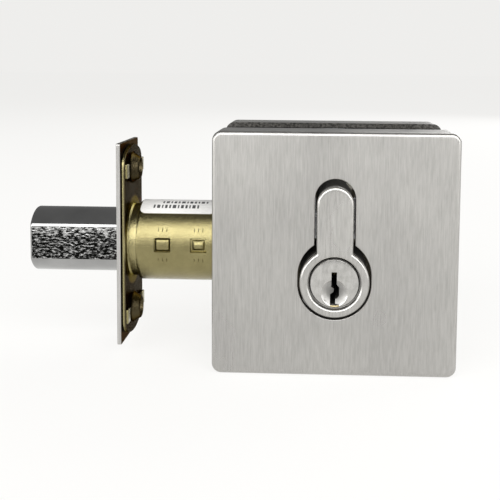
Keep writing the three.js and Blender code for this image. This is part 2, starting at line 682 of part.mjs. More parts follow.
function boltTail() {
  const left = REST_PIN_X - SLOT_HALF;
  const right = REST_PIN_X + SLOT_HALF;
  const start = BOLT_BACK_X - 8.8;
  const shape = outline([
    [start, -5], [-36, -5], [-33, TAIL_LOW], [right + PRONG, TAIL_LOW], [right + PRONG, PRONG_TOP],
    [right, PRONG_TOP], [right, SLOT_BOTTOM], [left, SLOT_BOTTOM], [left, PRONG_TOP],
    [left - PRONG, PRONG_TOP], [left - PRONG, 7], [start, 7],
  ]);
  const hole = rodY(1.5, -5, 5, BOLT_BACK_X - 4.5, 1.5, 14);
  return cut(plateXZ(shape, -TAIL_Y, TAIL_Y), hole);
}

addPiece('bolt', bolt(), chrome());
addPiece('anti_saw_pin', rodX(3, BOLT_TIP_X + 5.3, BOLT_BACK_X - 9.3, 0, 0, 16), springSteel());
addPiece('bolt_tail', boltTail(), steel());
addPiece('bolt_rivet', rodY(1.4, -BOLT_FLAT, BOLT_FLAT, BOLT_BACK_X - 4.5, 1.5, 14), steel());

// ---------------------------------------------------------------- case, hub and crank

const TRUNNION_RADIUS = 5;
const HUB_RADIUS = 6.3;
const RIVET_SPOTS = [[-17.2, -12.4], [17.2, -12.4]];
const CASE_RIVET_RADIUS = 1.2;

// One half of the folded case: a side plate with a flange all round that meets the other half's.
function caseHalf(side) {
  const height = CASE_TOP - CASE_BOTTOM;
  const middle = (CASE_TOP + CASE_BOTTOM) / 2;
  const y0 = side < 0 ? -CASE_OUTER_Y : 0;
  const y1 = side < 0 ? 0 : CASE_OUTER_Y;
  const block = plateXZ(roundedRectangle(2 * CASE_HALF, height, 2.5, 0, middle), y0, y1, 3);
  const inside = 2 * CASE_SHEET;
  const hollow = plateXZ(
    roundedRectangle(2 * CASE_HALF - inside, height - inside, 1.3, 0, middle),
    side < 0 ? -CASE_INNER_Y : -1, side < 0 ? 1 : CASE_INNER_Y, 3,
  );
  const boltWay = box(
    -CASE_HALF - 1, -CASE_HALF + CASE_SHEET + 1, -CASE_INNER_Y, CASE_INNER_Y,
    -6.2, CASE_TOP - CASE_SHEET - 0.5,
  );
  const trunnionHole = rodY(TRUNNION_RADIUS + 0.1, -10, 10, 0, HUB_Z, 28);
  const rivetHoles = RIVET_SPOTS.map(([x, z]) => rodY(CASE_RIVET_RADIUS + 0.1, -10, 10, x, z, 12));
  return cut(block, hollow, boltWay, trunnionHole, ...rivetHoles);
}

function caseRivet(x, z) {
  const end = CASE_OUTER_Y + 0.6;
  const seat = CASE_OUTER_Y;
  return turnedY([
    [0, -end], [1.9, -end], [2.1, -seat], [CASE_RIVET_RADIUS, -seat],
    [CASE_RIVET_RADIUS, seat], [2.1, seat], [1.9, end], [0, end],
  ], x, z, 14);
}

// The hub turns in the case. Its flats at the bottom and at +X meet the detent spring at each end
// of the turn.
function hub() {
  const barrel = rodY(HUB_RADIUS, -5.7, 5.7, 0, HUB_Z, 32);
  const trunnions = rodY(TRUNNION_RADIUS, -7.4, 7.4, 0, HUB_Z, 28);
  const flatBottom = box(-10, 10, -5.8, 5.8, HUB_Z - 10, HUB_Z - 5.7);
  const flatRight = box(5.7, 10, -5.8, 5.8, HUB_Z - 10, HUB_Z + 10);
  const slot = box(-TAIL_HALF_WIDTH - 0.2, TAIL_HALF_WIDTH + 0.2, -10, 10, HUB_Z - 1.4, HUB_Z + 1.4);
  return cut(join(cut(barrel, flatBottom, flatRight), trunnions), slot);
}

// The crank arm is pressed round the hub's barrel and carries the pin that works in the tail's fork.
const ARM_Y0 = 1.4;
const ARM_Y1 = 3.9;

function crankArm() {
  const arm = outline([
    [5.2, -5.2], [CRANK_RADIUS - 1, -3.1], [CRANK_RADIUS + 1.4, -2.3], [CRANK_RADIUS + 2.3, -0.8],
    [CRANK_RADIUS + 2.3, 0.8], [CRANK_RADIUS + 1.4, 2.3], [CRANK_RADIUS - 1, 3.1], [5.2, 5.2],
  ]);
  const pinHole = rodY(CRANK_PIN_RADIUS - 0.5 + 0.08, -10, 10, CRANK_RADIUS, 0, 14);
  const swung = cut(plateXZ(arm, ARM_Y0, ARM_Y1), pinHole).rotateY(-0.75 * Math.PI);
  return cut(swung.translate(0, 0, HUB_Z), rodY(HUB_RADIUS + 0.02, -10, 10, 0, HUB_Z, 32));
}

addPiece('case_front', caseHalf(-1), darkZinc());
addPiece('case_rear', caseHalf(1), darkZinc());
RIVET_SPOTS.forEach(([x, z], index) => addPiece(`case_rivet_${index + 1}`, caseRivet(x, z), steel()));
addPiece('hub', hub(), brass());
addPiece('crank_arm', crankArm(), steel());

function crankPin() {
  return turnedY([
    [0, -1.8], [CRANK_PIN_RADIUS, -1.8], [CRANK_PIN_RADIUS, ARM_Y0 - 0.05],
    [CRANK_PIN_RADIUS - 0.5, ARM_Y0 - 0.05],
    [CRANK_PIN_RADIUS - 0.5, ARM_Y1 + 0.3], [0, ARM_Y1 + 0.3],
  ], REST_PIN_X, REST_PIN_Z, 14);
}

addPiece('crank_pin', crankPin(), steel());

// A leaf spring under the hub, bowed up at its middle and bearing on the case floor at both ends.
function detentSpring() {
  const thick = 0.4;
  const floor = CASE_BOTTOM + CASE_SHEET + 0.02;
  const crown = HUB_Z - HUB_RADIUS - 0.25 - thick;
  const upper = [];
  const lower = [];
  const steps = 12;
  for (let step = 0; step <= steps; step += 1) {
    const share = step / steps;
    const x = -9 + 18 * share;
    const z = floor + (crown - floor) * Math.sin(Math.PI * share) ** 2;
    lower.push([x, z]);
    upper.unshift([x, z + thick]);
  }
  return plateXZ(outline([...lower, ...upper]), -4.5, 4.5);
}

addPiece('detent_spring', detentSpring(), springSteel());

// ---------------------------------------------------------------- inside: plate, posts, screws, thumbturn

const INNER_PLATE_Y = INSIDE_BACK + 6.6;
const INNER_PLATE_THICK = 1.6;
const INNER_PLATE_RADIUS = 30.8;
const SPINDLE_HOLE = 7.5;

function interiorPlate() {
  const plate = rodY(INNER_PLATE_RADIUS, INNER_PLATE_Y, INNER_PLATE_Y + INNER_PLATE_THICK, 0, ROSE_Z, 56);
  const collar = ringY(28.2, 29.4, INSIDE_BACK, INNER_PLATE_Y + 0.5, 0, ROSE_Z, 48);
  const holes = POST_ENDS.map(([x, z]) => rodY(2.2, 0, 40, x, z, 14));
  return cut(join(plate, collar), rodY(SPINDLE_HOLE, 0, 40, 0, HUB_Z, 28), ...holes);
}

const POST_END_Y = INNER_PLATE_Y - 3.5;

function fixingPost(x, z) {
  const post = turnedY([
    [0, POST_SEAT_Y - 4.4], [1.85, POST_SEAT_Y - 4.4], [1.85, POST_SEAT_Y], [POST_RADIUS, POST_SEAT_Y],
    [POST_RADIUS, POST_END_Y], [0, POST_END_Y],
  ], x, z, 16);
  return cut(post, rodY(1.75, POST_END_Y - 14, POST_END_Y + 1, x, z, 14));
}

for (const [x, z, name] of POST_ENDS) {
  addPiece(`fixing_post_${name}`, fixingPost(x, z), steel());
  const headY = INNER_PLATE_Y + INNER_PLATE_THICK;
  addPiece(`fixing_screw_${name}`, panScrewY(x, z, headY, POST_END_Y - 9, 1.65, 3.6, 2.2), steel());
}
addPiece('interior_plate', interiorPlate(), steel());

function roseGrubScrew() {
  const low = ROSE_BOTTOM + 0.2;
  const high = ROSE_BOTTOM + 2.9;
  const body = turnedZ([
    [0, low], [1.3, low], [1.5, low + 0.3], [1.5, high - 0.4], [0.9, high], [0, high],
  ], 0, GRUB_Y, 12);
  const socket = turnedZ([[0, low - 1], [0.75, low - 1], [0.75, low + 1.3], [0, low + 1.3]], 0, GRUB_Y, 6);
  return cut(body, socket);
}

addPiece('rose_grub_screw', roseGrubScrew(), steel());

const KNOB_BASE = INSIDE_FACE + 0.6;
const KNOB_TIP = INSIDE_FACE + 20;
const NECK_END = INSIDE_WALL - 1.6;

// The thumbturn: a round foot and a rounded rectangular wing, in one casting with its neck.
function thumbturn() {
  const foot = turnedY([
    [0, NECK_END], [TURN_NECK_RADIUS - 0.9, NECK_END], [TURN_NECK_RADIUS - 0.9, INSIDE_WALL - 0.8],
    [TURN_NECK_RADIUS, INSIDE_WALL - 0.8], [TURN_NECK_RADIUS, KNOB_BASE], [11, KNOB_BASE],
    [11.5, KNOB_BASE + 0.5], [11.5, KNOB_BASE + 2.5], [10.8, KNOB_BASE + 3.2], [0, KNOB_BASE + 3.2],
  ], 0, HUB_Z, 40);
  const wingShape = roundedRectangle(29, 7, 2.2, 0, HUB_Z);
  const wing = new THREE.ExtrudeGeometry(wingShape, {
    depth: KNOB_TIP - KNOB_BASE - 3.2,
    bevelThickness: 0.8,
    bevelSize: 0.8,
    bevelOffset: -0.8,
    bevelSegments: 2,
    curveSegments: 4,
  });
  wing.rotateX(Math.PI / 2).translate(0, KNOB_TIP - 0.8, 0);
  const kept = keepInside(wing, box(-40, 40, KNOB_BASE + 1, KNOB_TIP, -40, 40));
  const half = TAIL_HALF_WIDTH + 0.1;
  const thick = TAIL_HALF_THICK + 0.1;
  const socket = box(-half, half, NECK_END - 1, INSIDE_WALL + 1.5, HUB_Z - thick, HUB_Z + thick);
  return cut(join(foot, kept), socket);
}

const TURN_CLIP_Y = INSIDE_WALL - 1.45;

addPiece('thumbturn', thumbturn(), satinNickel());
addPiece('turn_spindle', box(
  -TAIL_HALF_WIDTH, TAIL_HALF_WIDTH, 0.6, INSIDE_WALL + 1.3, HUB_Z - TAIL_HALF_THICK, HUB_Z + TAIL_HALF_THICK,
), steel());
addPiece('turn_circlip', circlip(8.4, TURN_NECK_RADIUS - 0.85, TURN_CLIP_Y, 0.6, 2.4), springSteel());
const turnWasher = ringY(TURN_NECK_RADIUS + 0.1, 8.8, INSIDE_WALL - 0.8, INSIDE_WALL - 0.1, 0, HUB_Z, 28);
addPiece('turn_washer', turnWasher, nylon());

export default lock;
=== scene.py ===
"""A tubular deadbolt with square satin nickel roses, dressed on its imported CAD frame. Metres, +Z up."""

import json
import math

import bmesh
import bpy
import numpy as np
from mathutils import Matrix, Vector


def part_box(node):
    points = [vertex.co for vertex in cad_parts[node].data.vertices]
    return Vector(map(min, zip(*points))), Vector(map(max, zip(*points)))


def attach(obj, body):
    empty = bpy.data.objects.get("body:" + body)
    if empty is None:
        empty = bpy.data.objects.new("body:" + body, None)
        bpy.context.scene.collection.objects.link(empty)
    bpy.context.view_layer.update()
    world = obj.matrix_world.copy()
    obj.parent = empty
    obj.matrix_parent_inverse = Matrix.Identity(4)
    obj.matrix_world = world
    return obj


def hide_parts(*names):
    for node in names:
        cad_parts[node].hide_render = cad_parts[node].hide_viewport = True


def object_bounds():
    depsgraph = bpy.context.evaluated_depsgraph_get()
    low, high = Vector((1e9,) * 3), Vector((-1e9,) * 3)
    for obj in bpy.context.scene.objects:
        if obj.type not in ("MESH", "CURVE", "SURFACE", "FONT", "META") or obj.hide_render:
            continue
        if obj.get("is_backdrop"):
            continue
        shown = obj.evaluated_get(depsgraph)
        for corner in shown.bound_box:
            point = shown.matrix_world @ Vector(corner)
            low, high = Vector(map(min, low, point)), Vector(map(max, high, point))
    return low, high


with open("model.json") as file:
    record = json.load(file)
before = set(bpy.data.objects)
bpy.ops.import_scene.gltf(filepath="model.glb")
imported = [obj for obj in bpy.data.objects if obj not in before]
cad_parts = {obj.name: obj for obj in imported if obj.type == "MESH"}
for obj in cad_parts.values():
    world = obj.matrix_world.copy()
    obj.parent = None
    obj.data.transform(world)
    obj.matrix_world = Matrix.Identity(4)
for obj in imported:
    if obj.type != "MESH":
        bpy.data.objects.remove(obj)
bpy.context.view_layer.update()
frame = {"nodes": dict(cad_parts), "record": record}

nodes = frame["nodes"]
MM = 0.001

# ------------------------------------------------------------------ exterior rose
# The square cover on the outside of the door: a hollow zinc casting, 14 mm deep, plated in satin
# nickel and brushed from top to bottom. A keyhole-shaped opening lets the cylinder through.


def box_of(node):
    """The low and high corner of a CAD node's box, as arrays."""
    return [np.array(corner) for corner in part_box(node)]


def centre_xz(node):
    """The x and z of the middle of a CAD node's box."""
    low, high = box_of(node)
    return (low[0] + high[0]) / 2, (low[2] + high[2]) / 2


rose_low, rose_high = box_of("exterior_rose")
rose_centre = (rose_low + rose_high) / 2
rose_half = (rose_high[0] - rose_low[0]) / 2
ROSE_WALL = 1.5 * MM
ROSE_FACE = 2.0 * MM
ROSE_FILLET = 1.05 * MM
ROSE_CORNER = 2.6 * MM
LOWER_ROUND = 0.9
plug_low, plug_high = box_of("plug")
hub_z = (plug_low[2] + plug_high[2]) / 2


def grid_mesh(name, rings, close_path=False):
    """Makes a surface from a grid of points, rings[i, j]: each ring j closes on itself, and the rings
    are joined one to the next (and the last to the first if close_path). Ends that are not a point
    are left open."""
    count, around = rings.shape[:2]
    index = np.arange(count * around).reshape(count, around)
    start = index if close_path else index[:-1]
    after = np.roll(index, -1, axis=0) if close_path else index[1:]
    faces = np.stack([start, after, np.roll(after, -1, axis=1), np.roll(start, -1, axis=1)], axis=-1)
    mesh = bpy.data.meshes.new(name)
    mesh.from_pydata(rings.reshape(-1, 3).tolist(), [], faces.reshape(-1, 4).tolist())
    return tidy_mesh(mesh)


def tidy_mesh(mesh, sharp_degrees=32):
    """Merges points that coincide, turns the faces outwards, and marks the real edges as sharp."""
    work = bmesh.new()
    work.from_mesh(mesh)
    bmesh.ops.remove_doubles(work, verts=work.verts, dist=1e-7)
    bmesh.ops.dissolve_degenerate(work, edges=work.edges, dist=1e-8)
    bmesh.ops.recalc_face_normals(work, faces=work.faces)
    work.to_mesh(mesh)
    work.free()
    mesh.polygons.foreach_set("use_smooth", [True] * len(mesh.polygons))
    mesh.set_sharp_from_angle(angle=math.radians(sharp_degrees))
    mesh.update()
    return mesh


def join_meshes(name, *meshes):
    """One mesh that holds the shells of several."""
    work = bmesh.new()
    for mesh in meshes:
        work.from_mesh(mesh)
    joined = bpy.data.meshes.new(name)
    work.to_mesh(joined)
    work.free()
    return joined


def new_object(name, data):
    """An object for a mesh, lamp or camera, linked to the scene."""
    made = bpy.data.objects.new(name, data)
    bpy.context.scene.collection.objects.link(made)
    return made


def place(name, mesh, material, body, slot, *stands_for):
    """Puts a finished mesh in the scene, rides it on its body, and hides the CAD nodes it stands for."""
    piece = new_object(name, mesh)
    mesh.materials.clear()
    mesh.materials.append(material)
    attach(piece, body)
    if stands_for:
        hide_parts(*stands_for)
    return piece


def ray_circle(angles, origin_z, centre_z, radius):
    """How far a ray from (0, origin_z) at each angle runs before it leaves a circle on x = 0."""
    along = (centre_z - origin_z) * np.sin(angles)
    return along + np.sqrt(along ** 2 - (centre_z - origin_z) ** 2 + radius ** 2)


def ray_slot(angles, origin_z, half_width, top):
    """How far a ray from (0, origin_z) runs before it leaves an upright slot with a round top."""
    side = half_width / np.maximum(np.abs(np.cos(angles)), 1e-9)
    round_z = top - half_width
    over_top = origin_z + side * np.sin(angles) > round_z
    reach = np.where(over_top, ray_circle(angles, origin_z, round_z, half_width), side)
    return np.where(np.sin(angles) < -0.2, 0.0, reach)


def keyhole(angles, origin_z, barrel_z, barrel, half_width, top, lift=0.0):
    """The keyhole outline as a distance for each angle: the larger of a slot and, under it, a circle
    stretched upwards by lift (two circles and the two straight sides between them)."""
    low = ray_circle(angles, origin_z, barrel_z, barrel)
    high = ray_circle(angles, origin_z, barrel_z + lift, barrel)
    side = barrel / np.maximum(np.abs(np.cos(angles)), 1e-9)
    level = origin_z + side * np.sin(angles)
    between = (level > barrel_z) & (level < barrel_z + lift)
    round_part = np.where(between, side, np.maximum(low, high))
    return np.maximum(round_part, ray_slot(angles, origin_z, half_width, top))


def rounded_square(angles, origin_z, centre_z, half_x, half_z, corner, crown=0.0):
    """A rectangle with round corners as a distance for each angle, found by 40 halvings. With a crown
    its two ends are arcs: at the sides they lie crown lower than in the middle."""
    low = np.zeros_like(angles)
    high = np.full_like(angles, 3 * max(half_x, half_z))
    for _ in range(40):
        middle = (low + high) / 2
        across = middle * np.cos(angles)
        end = half_z - corner - crown * np.minimum((across / half_x) ** 2, 1.0)
        x = np.abs(across) - (half_x - corner)
        z = np.abs(origin_z + middle * np.sin(angles) - centre_z) - end
        gap = np.hypot(np.maximum(x, 0), np.maximum(z, 0)) + np.minimum(np.maximum(x, z), 0) - corner
        low = np.where(gap < 0, middle, low)
        high = np.where(gap < 0, high, middle)
    return low


def ring_xz(angles, reach, origin_z, y):
    """Points at a distance along each angle round (0, origin_z), in the plane at y."""
    z = origin_z + reach * np.sin(angles)
    return np.stack([reach * np.cos(angles), np.full_like(angles, y), z], axis=-1)


def junction_angles(origin_z, barrel_z, barrel, half_width):
    """The two angles at which the slot meets the barrel, so that the corner is a point of the grid."""
    meet_z = barrel_z + math.sqrt(barrel ** 2 - half_width ** 2)
    right = math.atan2(meet_z - origin_z, half_width)
    return [right, math.pi - right]


def angle_grid(count, *extra):
    """Even angles round a turn, with the given ones added."""
    even = np.linspace(-math.pi, math.pi, count, endpoint=False)
    return np.unique(np.concatenate([even, np.array(extra)]))


def corner_angles(centre_z, half_x, half_z, corner):
    """Angles that fall on the round corners of a rectangle, so that each corner has its own points."""
    found = []
    for sx in (-1, 1):
        for sz in (-1, 1):
            turn = np.linspace(0, math.pi / 2, 9)
            x = sx * (half_x - corner + corner * np.cos(turn))
            z = centre_z + sz * (half_z - corner + corner * np.sin(turn))
            found.append(np.arctan2(z, x))
    return np.concatenate(found)


def rose_rings(angles, opening, face_y, way):
    """Carries a rose's profile round its outline: up the outer wall, over the fillet, across the face
    to the opening, through it, back across the inside and out to the rim. way is +1 if the hollow is
    towards +Y."""
    z0 = rose_centre[2]
    depth = rose_high[1] - rose_low[1]

    def square(half, corner, lower=0.0):
        return rounded_square(angles, 0.0, z0 + lower / 2, half, half - lower / 2, corner)

    rings = []

    def add(reach, deep):
        rings.append(ring_xz(angles, reach, 0.0, face_y + way * deep))

    for part in (1.0, 0.98, 0.5, 0.2):
        add(square(rose_half, ROSE_CORNER), depth * part)
    for turn in np.linspace(0, math.pi / 2, 9):
        inset = ROSE_FILLET * (1 - math.cos(turn))
        lower = LOWER_ROUND * inset
        add(square(rose_half - inset, ROSE_CORNER - inset, lower), ROSE_FILLET * (1 - math.sin(turn)))
    outer = square(rose_half - ROSE_FILLET, ROSE_CORNER - ROSE_FILLET, LOWER_ROUND * ROSE_FILLET)
    for part in (0.02, 0.3, 0.7, 0.94):
        add(outer + (opening - outer) * part, 0.0)
    edge = 0.25 * MM
    for turn in np.linspace(0, math.pi / 2, 5):
        add(opening + edge * (1 - math.sin(turn)), edge * (1 - math.cos(turn)))
    add(opening, edge + 0.1 * MM)
    add(opening, ROSE_FACE)
    inner = square(rose_half - ROSE_WALL, ROSE_CORNER - ROSE_WALL / 2)
    add(inner, ROSE_FACE)
    add(inner, depth - 0.1 * MM)
    add(inner + 0.1 * MM, depth)
    return np.array(rings)


def coordinates(mesh):
    """The x, y and z of all the points of a mesh."""
    points = np.empty(len(mesh.vertices) * 3)
    mesh.vertices.foreach_get("co", points)
    return points.reshape(-1, 3).T


def mark(mesh, name, chosen):
    """Gives the points of a mesh a number called name: 1 if chosen, otherwise 0."""
    values = chosen.astype(np.float32)
    mesh.attributes.new(name, "FLOAT", "POINT").data.foreach_set("value", values)
    return mesh


def mark_inside(mesh, face_y, way):
    """Marks the inside of a cover, which is painted dark as shade: each point deeper than its face's edge
    and within the outer wall, and the rim."""
    x, y, z = coordinates(mesh)
    depth = (y - face_y) * way
    limit = rose_half - ROSE_WALL + 0.05 * MM
    within = (np.abs(x) < limit) & (np.abs(z - rose_centre[2]) < limit)
    rim = depth > rose_high[1] - rose_low[1] - 0.05 * MM
    return mark(mesh, "inside", rim | (within & (depth > 0.3 * MM)))


def steps_from(base, *pairs):
    """Profile points from (radius, distance past base) pairs in millimetres."""
    return [(radius * MM, base + along * MM) for radius, along in pairs]


def turned(name, profile, axis="y", centre=(0.0, 0.0), steps=64, closed=False):
    """Turns a profile of (radius, place along the axis) points round an axis, x or y. centre is the
    axis's place in the other two directions: (x, z) for y, (y, z) for x."""
    profile = np.array(profile, float)
    angles = np.linspace(0, 2 * math.pi, steps, endpoint=False)
    first = centre[0] + profile[:, :1] * np.cos(angles)
    second = centre[1] + profile[:, :1] * np.sin(angles)
    along = np.repeat(profile[:, 1:], steps, axis=1)
    order = (first, along, second) if axis == "y" else (along, first, second)
    return grid_mesh(name, np.stack(order, axis=-1), close_path=closed)


def shader(name, color, roughness, metallic=1.0):
    """A new material with one Principled shader, and short calls to add nodes to it."""
    material = bpy.data.materials.new(name)
    material.use_nodes = True
    tree = material.node_tree
    surface = tree.nodes["Principled BSDF"]
    surface.inputs["Base Color"].default_value = (*color, 1)
    surface.inputs["Roughness"].default_value = roughness
    surface.inputs["Metallic"].default_value = metallic
    return material, tree, surface


def noise(tree, scale, detail=4.0, stretch=(1, 1, 1), roughness=0.55):
    """Noise in the piece's own metres; stretch multiplies the scale along each axis."""
    place_node = tree.nodes.new("ShaderNodeTexCoord")
    mapping = tree.nodes.new("ShaderNodeMapping")
    mapping.inputs["Scale"].default_value = stretch
    grain = tree.nodes.new("ShaderNodeTexNoise")
    grain.inputs["Scale"].default_value = scale
    grain.inputs["Detail"].default_value = detail
    grain.inputs["Roughness"].default_value = roughness
    tree.links.new(place_node.outputs["Object"], mapping.inputs["Vector"])
    tree.links.new(mapping.outputs["Vector"], grain.inputs["Vector"])
    return grain.outputs["Fac"]


def spread(tree, value, low=0, high=1, from_low=0.3, from_high=0.7):
    """Takes a value from one range of numbers to another, and holds it within the second."""
    node = tree.nodes.new("ShaderNodeMapRange")
    node.inputs["From Min"].default_value = from_low
    node.inputs["From Max"].default_value = from_high
    node.inputs["To Min"].default_value = low
    node.inputs["To Max"].default_value = high
    tree.links.new(value, node.inputs["Value"])
    return node.outputs["Result"]


def math_node(tree, operation, *values):
    """A Math node on one or two values."""
    node = tree.nodes.new("ShaderNodeMath")
    node.operation = operation
    for socket, value in zip(node.inputs, values):
        tree.links.new(value, socket)
    return node.outputs["Value"]


def feed(tree, socket, value):
    """Gives an input a plain number or colour, or links another node's output to it."""
    if isinstance(value, bpy.types.NodeSocket):
        tree.links.new(value, socket)
    else:
        socket.default_value = (*value, 1) if isinstance(value, tuple) else value


def blend_colors(tree, factor, first, second, mode="MIX"):
    """Mixes two colours, plain or linked: the first at 0, the second at 1."""
    node = tree.nodes.new("ShaderNodeMix")
    node.data_type, node.blend_type = "RGBA", mode
    feed(tree, node.inputs["Factor"], factor)
    feed(tree, node.inputs["A"], first)
    feed(tree, node.inputs["B"], second)
    return node.outputs["Result"]


def multiply_colors(tree, base, other):
    """Darkens one colour by another."""
    return blend_colors(tree, 1.0, base, other, "MULTIPLY")


def attribute(tree, name):
    """Reads a number that the mesh's points carry."""
    node = tree.nodes.new("ShaderNodeAttribute")
    node.attribute_name = name
    return node.outputs["Fac"]


def own_axes(tree):
    """The piece's own X, Y and Z in metres, as three values."""
    here = tree.nodes.new("ShaderNodeTexCoord")
    split = tree.nodes.new("ShaderNodeSeparateXYZ")
    tree.links.new(here.outputs["Object"], split.inputs["Vector"])
    return split.outputs["X"], split.outputs["Y"], split.outputs["Z"]


def finish(tree, surface, color, roughness):
    """Links a colour and a roughness to a shader."""
    tree.links.new(color, surface.inputs["Base Color"])
    tree.links.new(roughness, surface.inputs["Roughness"])


def linked_color(material):
    """A material's nodes, its shader, and the colour that is linked to it."""
    tree = material.node_tree
    surface = tree.nodes["Principled BSDF"]
    return tree, surface, surface.inputs["Base Color"].links[0].from_socket


def add_bump(tree, surface, height, distance, strength=1.0):
    """Raises the surface by a value times a distance in metres."""
    bump = tree.nodes.new("ShaderNodeBump")
    bump.inputs["Strength"].default_value = strength
    bump.inputs["Distance"].default_value = distance
    tree.links.new(height, bump.inputs["Height"])
    tree.links.new(bump.outputs["Normal"], surface.inputs["Normal"])


def brushed_nickel(name, stretch, tone=(0.5, 0.49, 0.468), roughness=(0.27, 0.38), grain_depth=0.005,
                   shaded_raw_inside=False):
    """Satin nickel: fine brush strokes of two lengths and broad clouding. With the inside option, the points
    marked "inside" are unplated zinc, painted near black as shade, their reflection dimmed."""
    material, tree, surface = shader(name, tone, 0.34)
    fine = noise(tree, 1.0, detail=4.0, stretch=stretch, roughness=0.7)
    short = noise(tree, 1.0, detail=2.0, stretch=(stretch[0] * 0.55, stretch[1] * 0.55, stretch[2] * 2.6))
    cloud = noise(tree, 55, detail=3.0, stretch=(1, 1, 0.6))
    dark = tuple(channel * 0.83 for channel in tone)
    light = tuple(min(channel * 1.08, 1) for channel in tone)
    lines = blend_colors(tree, spread(tree, fine), dark, light)
    strokes = blend_colors(tree, spread(tree, short, 0, 1, 0.25, 0.6), (0.88, 0.88, 0.875), (1, 1, 1))
    clouds = blend_colors(tree, spread(tree, cloud), (0.93, 0.93, 0.935), (1, 1, 1))
    color = multiply_colors(tree, multiply_colors(tree, lines, strokes), clouds)
    if shaded_raw_inside:
        # painted shade: the inside is unplated zinc, darkened to near black with dimmed reflection, to stand
        # for the shade in the opening's wall, the hollow and the rim
        pores = noise(tree, 1400, detail=4.0, roughness=0.7)
        pores = spread(tree, pores, 0, 1, 0.4, 0.62)
        raw_and_shaded = blend_colors(tree, pores, (0.012, 0.011, 0.01), (0.11, 0.105, 0.095))
        inside = attribute(tree, "inside")
        color = blend_colors(tree, inside, color, raw_and_shaded)
        tree.links.new(spread(tree, inside, 1, 0.25, 0, 1), surface.inputs["Metallic"])
    finish(tree, surface, color, spread(tree, cloud, *roughness))
    add_bump(tree, surface, fine, grain_depth * MM, 0.5)
    return material


OPENING_BARREL = 9.65 * MM
OPENING_HALF = 5.35 * MM
OPENING_TOP = rose_centre[2] + 20.2 * MM
OPENING_BARREL_Z = hub_z - 0.5 * MM
OPENING_LIFT = 2.2 * MM
nickel_brushed = brushed_nickel("nickel_brushed", (3000, 3000, 95))
# the cover's inside, opening wall and rim are painted near black as shade
nickel_cover = brushed_nickel("nickel_cover", (4200, 4200, 105), shaded_raw_inside=True)

angles = angle_grid(
    420, *junction_angles(0, OPENING_BARREL_Z + OPENING_LIFT, OPENING_BARREL, OPENING_HALF),
    *corner_angles(rose_centre[2], rose_half, rose_half, ROSE_CORNER))
opening = keyhole(angles, 0.0, OPENING_BARREL_Z, OPENING_BARREL, OPENING_HALF, OPENING_TOP, OPENING_LIFT)
shell = grid_mesh("rose", rose_rings(angles, opening, rose_low[1], 1), close_path=True)
clamp_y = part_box("cylinder_clamp_left")[0][1]
post_seat_y = rose_low[1] + ROSE_FACE + 5 * MM
inner_face_y = rose_low[1] + ROSE_FACE
bosses = []
for node in ("clamp_screw_left", "clamp_screw_right", "fixing_post_upper", "fixing_post_lower"):
    is_post = node.startswith("fixing")
    end = post_seat_y if is_post else clamp_y
    outer, bore = (4.2 * MM, 2.0 * MM) if is_post else (3.2 * MM, 1.45 * MM)
    profile = [
        (outer + 0.8 * MM, inner_face_y), (outer, inner_face_y + 1 * MM), (outer, end - 0.3 * MM),
        (outer - 0.3 * MM, end), (bore, end), (bore, inner_face_y)]
    bosses.append(turned("boss", profile, "y", centre_xz(node), 40, closed=True))
cover = mark_inside(join_meshes("exterior_rose_cover", shell, *bosses), rose_low[1], 1)
place("exterior_rose_cover", cover, nickel_cover, "lock", "satin_nickel", "exterior_rose")

# ------------------------------------------------------------------ interior rose
# Its twin on the room side, with a round hole for the thumbturn and a boss for the grub screw.

inside_low, inside_high = box_of("interior_rose")
NECK_HOLE = 6.7 * MM
angles = angle_grid(420, *corner_angles(rose_centre[2], rose_half, rose_half, ROSE_CORNER))
neck = ray_circle(angles, 0.0, hub_z, NECK_HOLE)
inner_shell = grid_mesh("rose", rose_rings(angles, neck, inside_high[1], -1), close_path=True)


def round_rectangle(centre, half_x, half_z, corner, y, steps):
    """A rectangle with round corners, in x and z round a centre, at y."""
    turns = np.concatenate([np.linspace(0, math.pi / 2, steps) + k * math.pi / 2 for k in range(4)])
    x = centre[0] + np.repeat([1, -1, -1, 1], steps) * (half_x - corner) + corner * np.cos(turns)
    z = centre[-1] + np.repeat([1, 1, -1, -1], steps) * (half_z - corner) + corner * np.sin(turns)
    return np.stack([x, np.full(4 * steps, y), z], axis=-1)


def block(name, low, high, edge):
    """A box with rounded edges: round rectangles, drawn in towards each end along a quarter circle."""
    low, high = np.array(low, float), np.array(high, float)
    centre, half = (low + high) / 2, (high - low) / 2
    turn = np.linspace(0, math.pi / 2, 5)
    rings = [np.tile([centre[0], low[1], centre[2]], (4 * len(turn), 1))]
    levels = [(edge * math.sin(t), low[1] + edge * (1 - math.cos(t))) for t in turn]
    levels += [(edge * math.cos(t), high[1] - edge * (1 - math.sin(t))) for t in turn]
    for reach, y in levels:
        rings.append(round_rectangle(
            centre, half[0] - edge + reach, half[2] - edge + reach, reach, y, len(turn)))
    rings.append(np.tile([centre[0], high[1], centre[2]], (4 * len(turn), 1)))
    return grid_mesh(name, np.array(rings))


grub_low, grub_high = box_of("rose_grub_screw")
grub_y = (grub_low[1] + grub_high[1]) / 2
grub_boss = block(
    "boss", (-3.5 * MM, grub_y - 2.6 * MM, inside_low[2] + 1.2 * MM),
    (3.5 * MM, grub_y + 2.6 * MM, inside_low[2] + 2.8 * MM), 0.3 * MM)
cover = mark_inside(join_meshes("interior_rose_cover", inner_shell, grub_boss), inside_high[1], -1)
place("interior_rose_cover", cover, nickel_cover, "lock", "satin_nickel", "interior_rose")

# ------------------------------------------------------------------ key cylinder
# The profile cylinder stands upside down, its pin housing above the plug. Its nickel-plated brass body
# stands 2 mm proud of the rose, with a small round on its face edge and a chamfered mouth.

